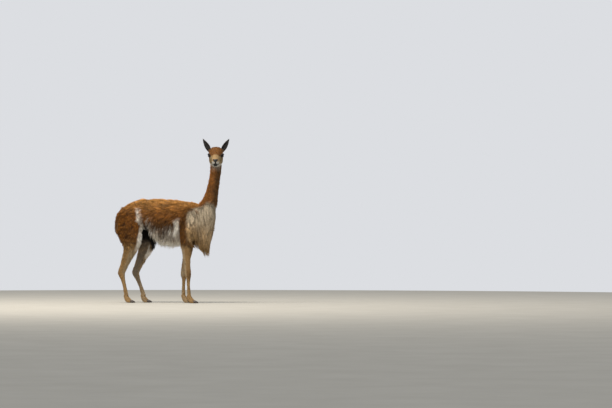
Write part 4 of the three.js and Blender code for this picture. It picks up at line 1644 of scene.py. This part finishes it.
# %% [markdown]
# ## What replaces what
#
# The model is one still body. The skin stands for all solids but the eyes and nails, which have
# pieces of their own, and the coat adds to the skin without replacing a solid.

# %% Riding
separate = {f"{h}_eye" for h in ("left", "right")} | set(claws)
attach(skin, "root")
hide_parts(*[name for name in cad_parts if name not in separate])
for name, pieces in coats.items():
    for piece in pieces:
        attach(piece, "root")
print("coat pieces:", sum(map(len, coats.values())))

# %% [markdown]
# ## Floor
#
# A plain pale floor stands in for the ground, and gives contact shadows at the feet without
# drawing the eye. It runs far out towards the camera, so that its near edge stays out of the
# picture.

# %% Floor
# How far the photo's camera stands round from the body's right side, towards its head
VIEW_TURN = math.radians(20)
sight = Vector((-math.sin(VIEW_TURN), math.cos(VIEW_TURN), 0))
to_right = Vector((math.cos(VIEW_TURN), math.sin(VIEW_TURN), 0))
stand = Vector(placed(np.zeros(3)))
stand.z = 0
# The floor's radius, its height and how far its near half is drawn out, in metres
FLOOR_RADIUS, FLOOR_UP, FLOOR_TOWARDS_CAMERA = 7.0, -0.001, 17.0
bm = bmesh.new()
bmesh.ops.create_circle(bm, segments=128, radius=FLOOR_RADIUS, cap_ends=True)
near_half = [v for v in bm.verts if v.co.dot(sight) < 0]
bmesh.ops.translate(bm, vec=-sight * FLOOR_TOWARDS_CAMERA, verts=near_half)
bmesh.ops.translate(bm, vec=stand + Vector((0, 0, FLOOR_UP)), verts=bm.verts)
floor = new_object("floor", bm)

# Dry matt ground with broad faint patches, which gives the shadows something to fall on
ground, tree = new_material("pale_floor")
where = node(tree, "ShaderNodeTexCoord")
SOIL_PATCH = 333
patches = node(tree, "ShaderNodeTexNoise", {
    "Vector": where.outputs["Object"], "Scale": 1 / (SOIL_PATCH * MM),
    "Detail": 6, "Roughness": 0.6,
})
tones = node(tree, "ShaderNodeValToRGB", {"Fac": patches.outputs["Fac"]})
tones.color_ramp.elements[0].color = (*linear("#a8a59c"), 1)
tones.color_ramp.elements[1].color = (*linear("#b9b6ad"), 1)
node(tree, "Principled BSDF", {
    "Base Color": tones.outputs["Color"], "Roughness": 0.95, "Specular IOR Level": 0.0,
})
floor.data.materials.append(ground)
print("floor: radius", FLOOR_RADIUS, "m")

# %% [markdown]
# ## Light
#
# The photo was taken under a bright overcast sky. A pale sky lights all sides, and a wide soft
# disk above and a little towards the camera makes the back pale and the lower flank dark.

# %% Light
scene = bpy.context.scene
scene.view_settings.view_transform = "Standard"
world = bpy.data.worlds.new("overcast_sky")
scene.world = world
world.use_nodes = True
sky = world.node_tree.nodes["Background"]
sky.inputs["Color"].default_value = (*linear("#dcdee2"), 1)
sky.inputs["Strength"].default_value = 1.0


# The disk's size and power, the height of the body's middle, and how far the disk lies from it:
# away from the camera, to the picture's right and up, in metres
CLOUD_SIZE, CLOUD_POWER, BODY_MIDDLE = 4.0, 440, 0.7
CLOUD_OUT, CLOUD_ASIDE, CLOUD_UP = -2.4, -1.5, 5.0
light = bpy.data.lights.new("cloud_glow", "AREA")
light.shape = "DISK"
light.size = CLOUD_SIZE
light.energy = CLOUD_POWER
light.color = linear("#fff6ea")
cloud = bpy.data.objects.new("cloud_glow", light)
scene.collection.objects.link(cloud)
middle = stand + Vector((0, 0, BODY_MIDDLE))
cloud.location = middle + sight * CLOUD_OUT + to_right * CLOUD_ASIDE + Vector((0, 0, CLOUD_UP))
cloud.rotation_euler = (middle - cloud.location).to_track_quat("-Z", "Y").to_euler()
print("cloud_glow at", [round(v, 2) for v in cloud.location])

# %% [markdown]
# ## Camera
#
# The photo was taken from far off and low down with a long lens, which the small difference in
# size between near and far legs shows. The aim sets the animal left of the middle, as there.

# %% Camera
# Metres from the aim, over the ground, and the aim's place to the right of the body and up
CAMERA_AWAY, CAMERA_UP, AIM_RIGHT, AIM_UP = 25.0, 0.5, 1.203, 0.839
camera = bpy.data.cameras.new("photo_camera")
camera.lens = 173.0
camera.sensor_width = 36
camera.clip_end = 200
photo_eye = bpy.data.objects.new("photo_camera", camera)
scene.collection.objects.link(photo_eye)
aim = stand + to_right * AIM_RIGHT + Vector((0, 0, AIM_UP))
photo_eye.location = aim - sight * CAMERA_AWAY
photo_eye.location.z = CAMERA_UP
photo_eye.rotation_euler = (aim - photo_eye.location).to_track_quat("-Z", "Y").to_euler()
scene.camera = photo_eye
print("camera:", camera.lens, "mm lens,", CAMERA_AWAY, "m away")
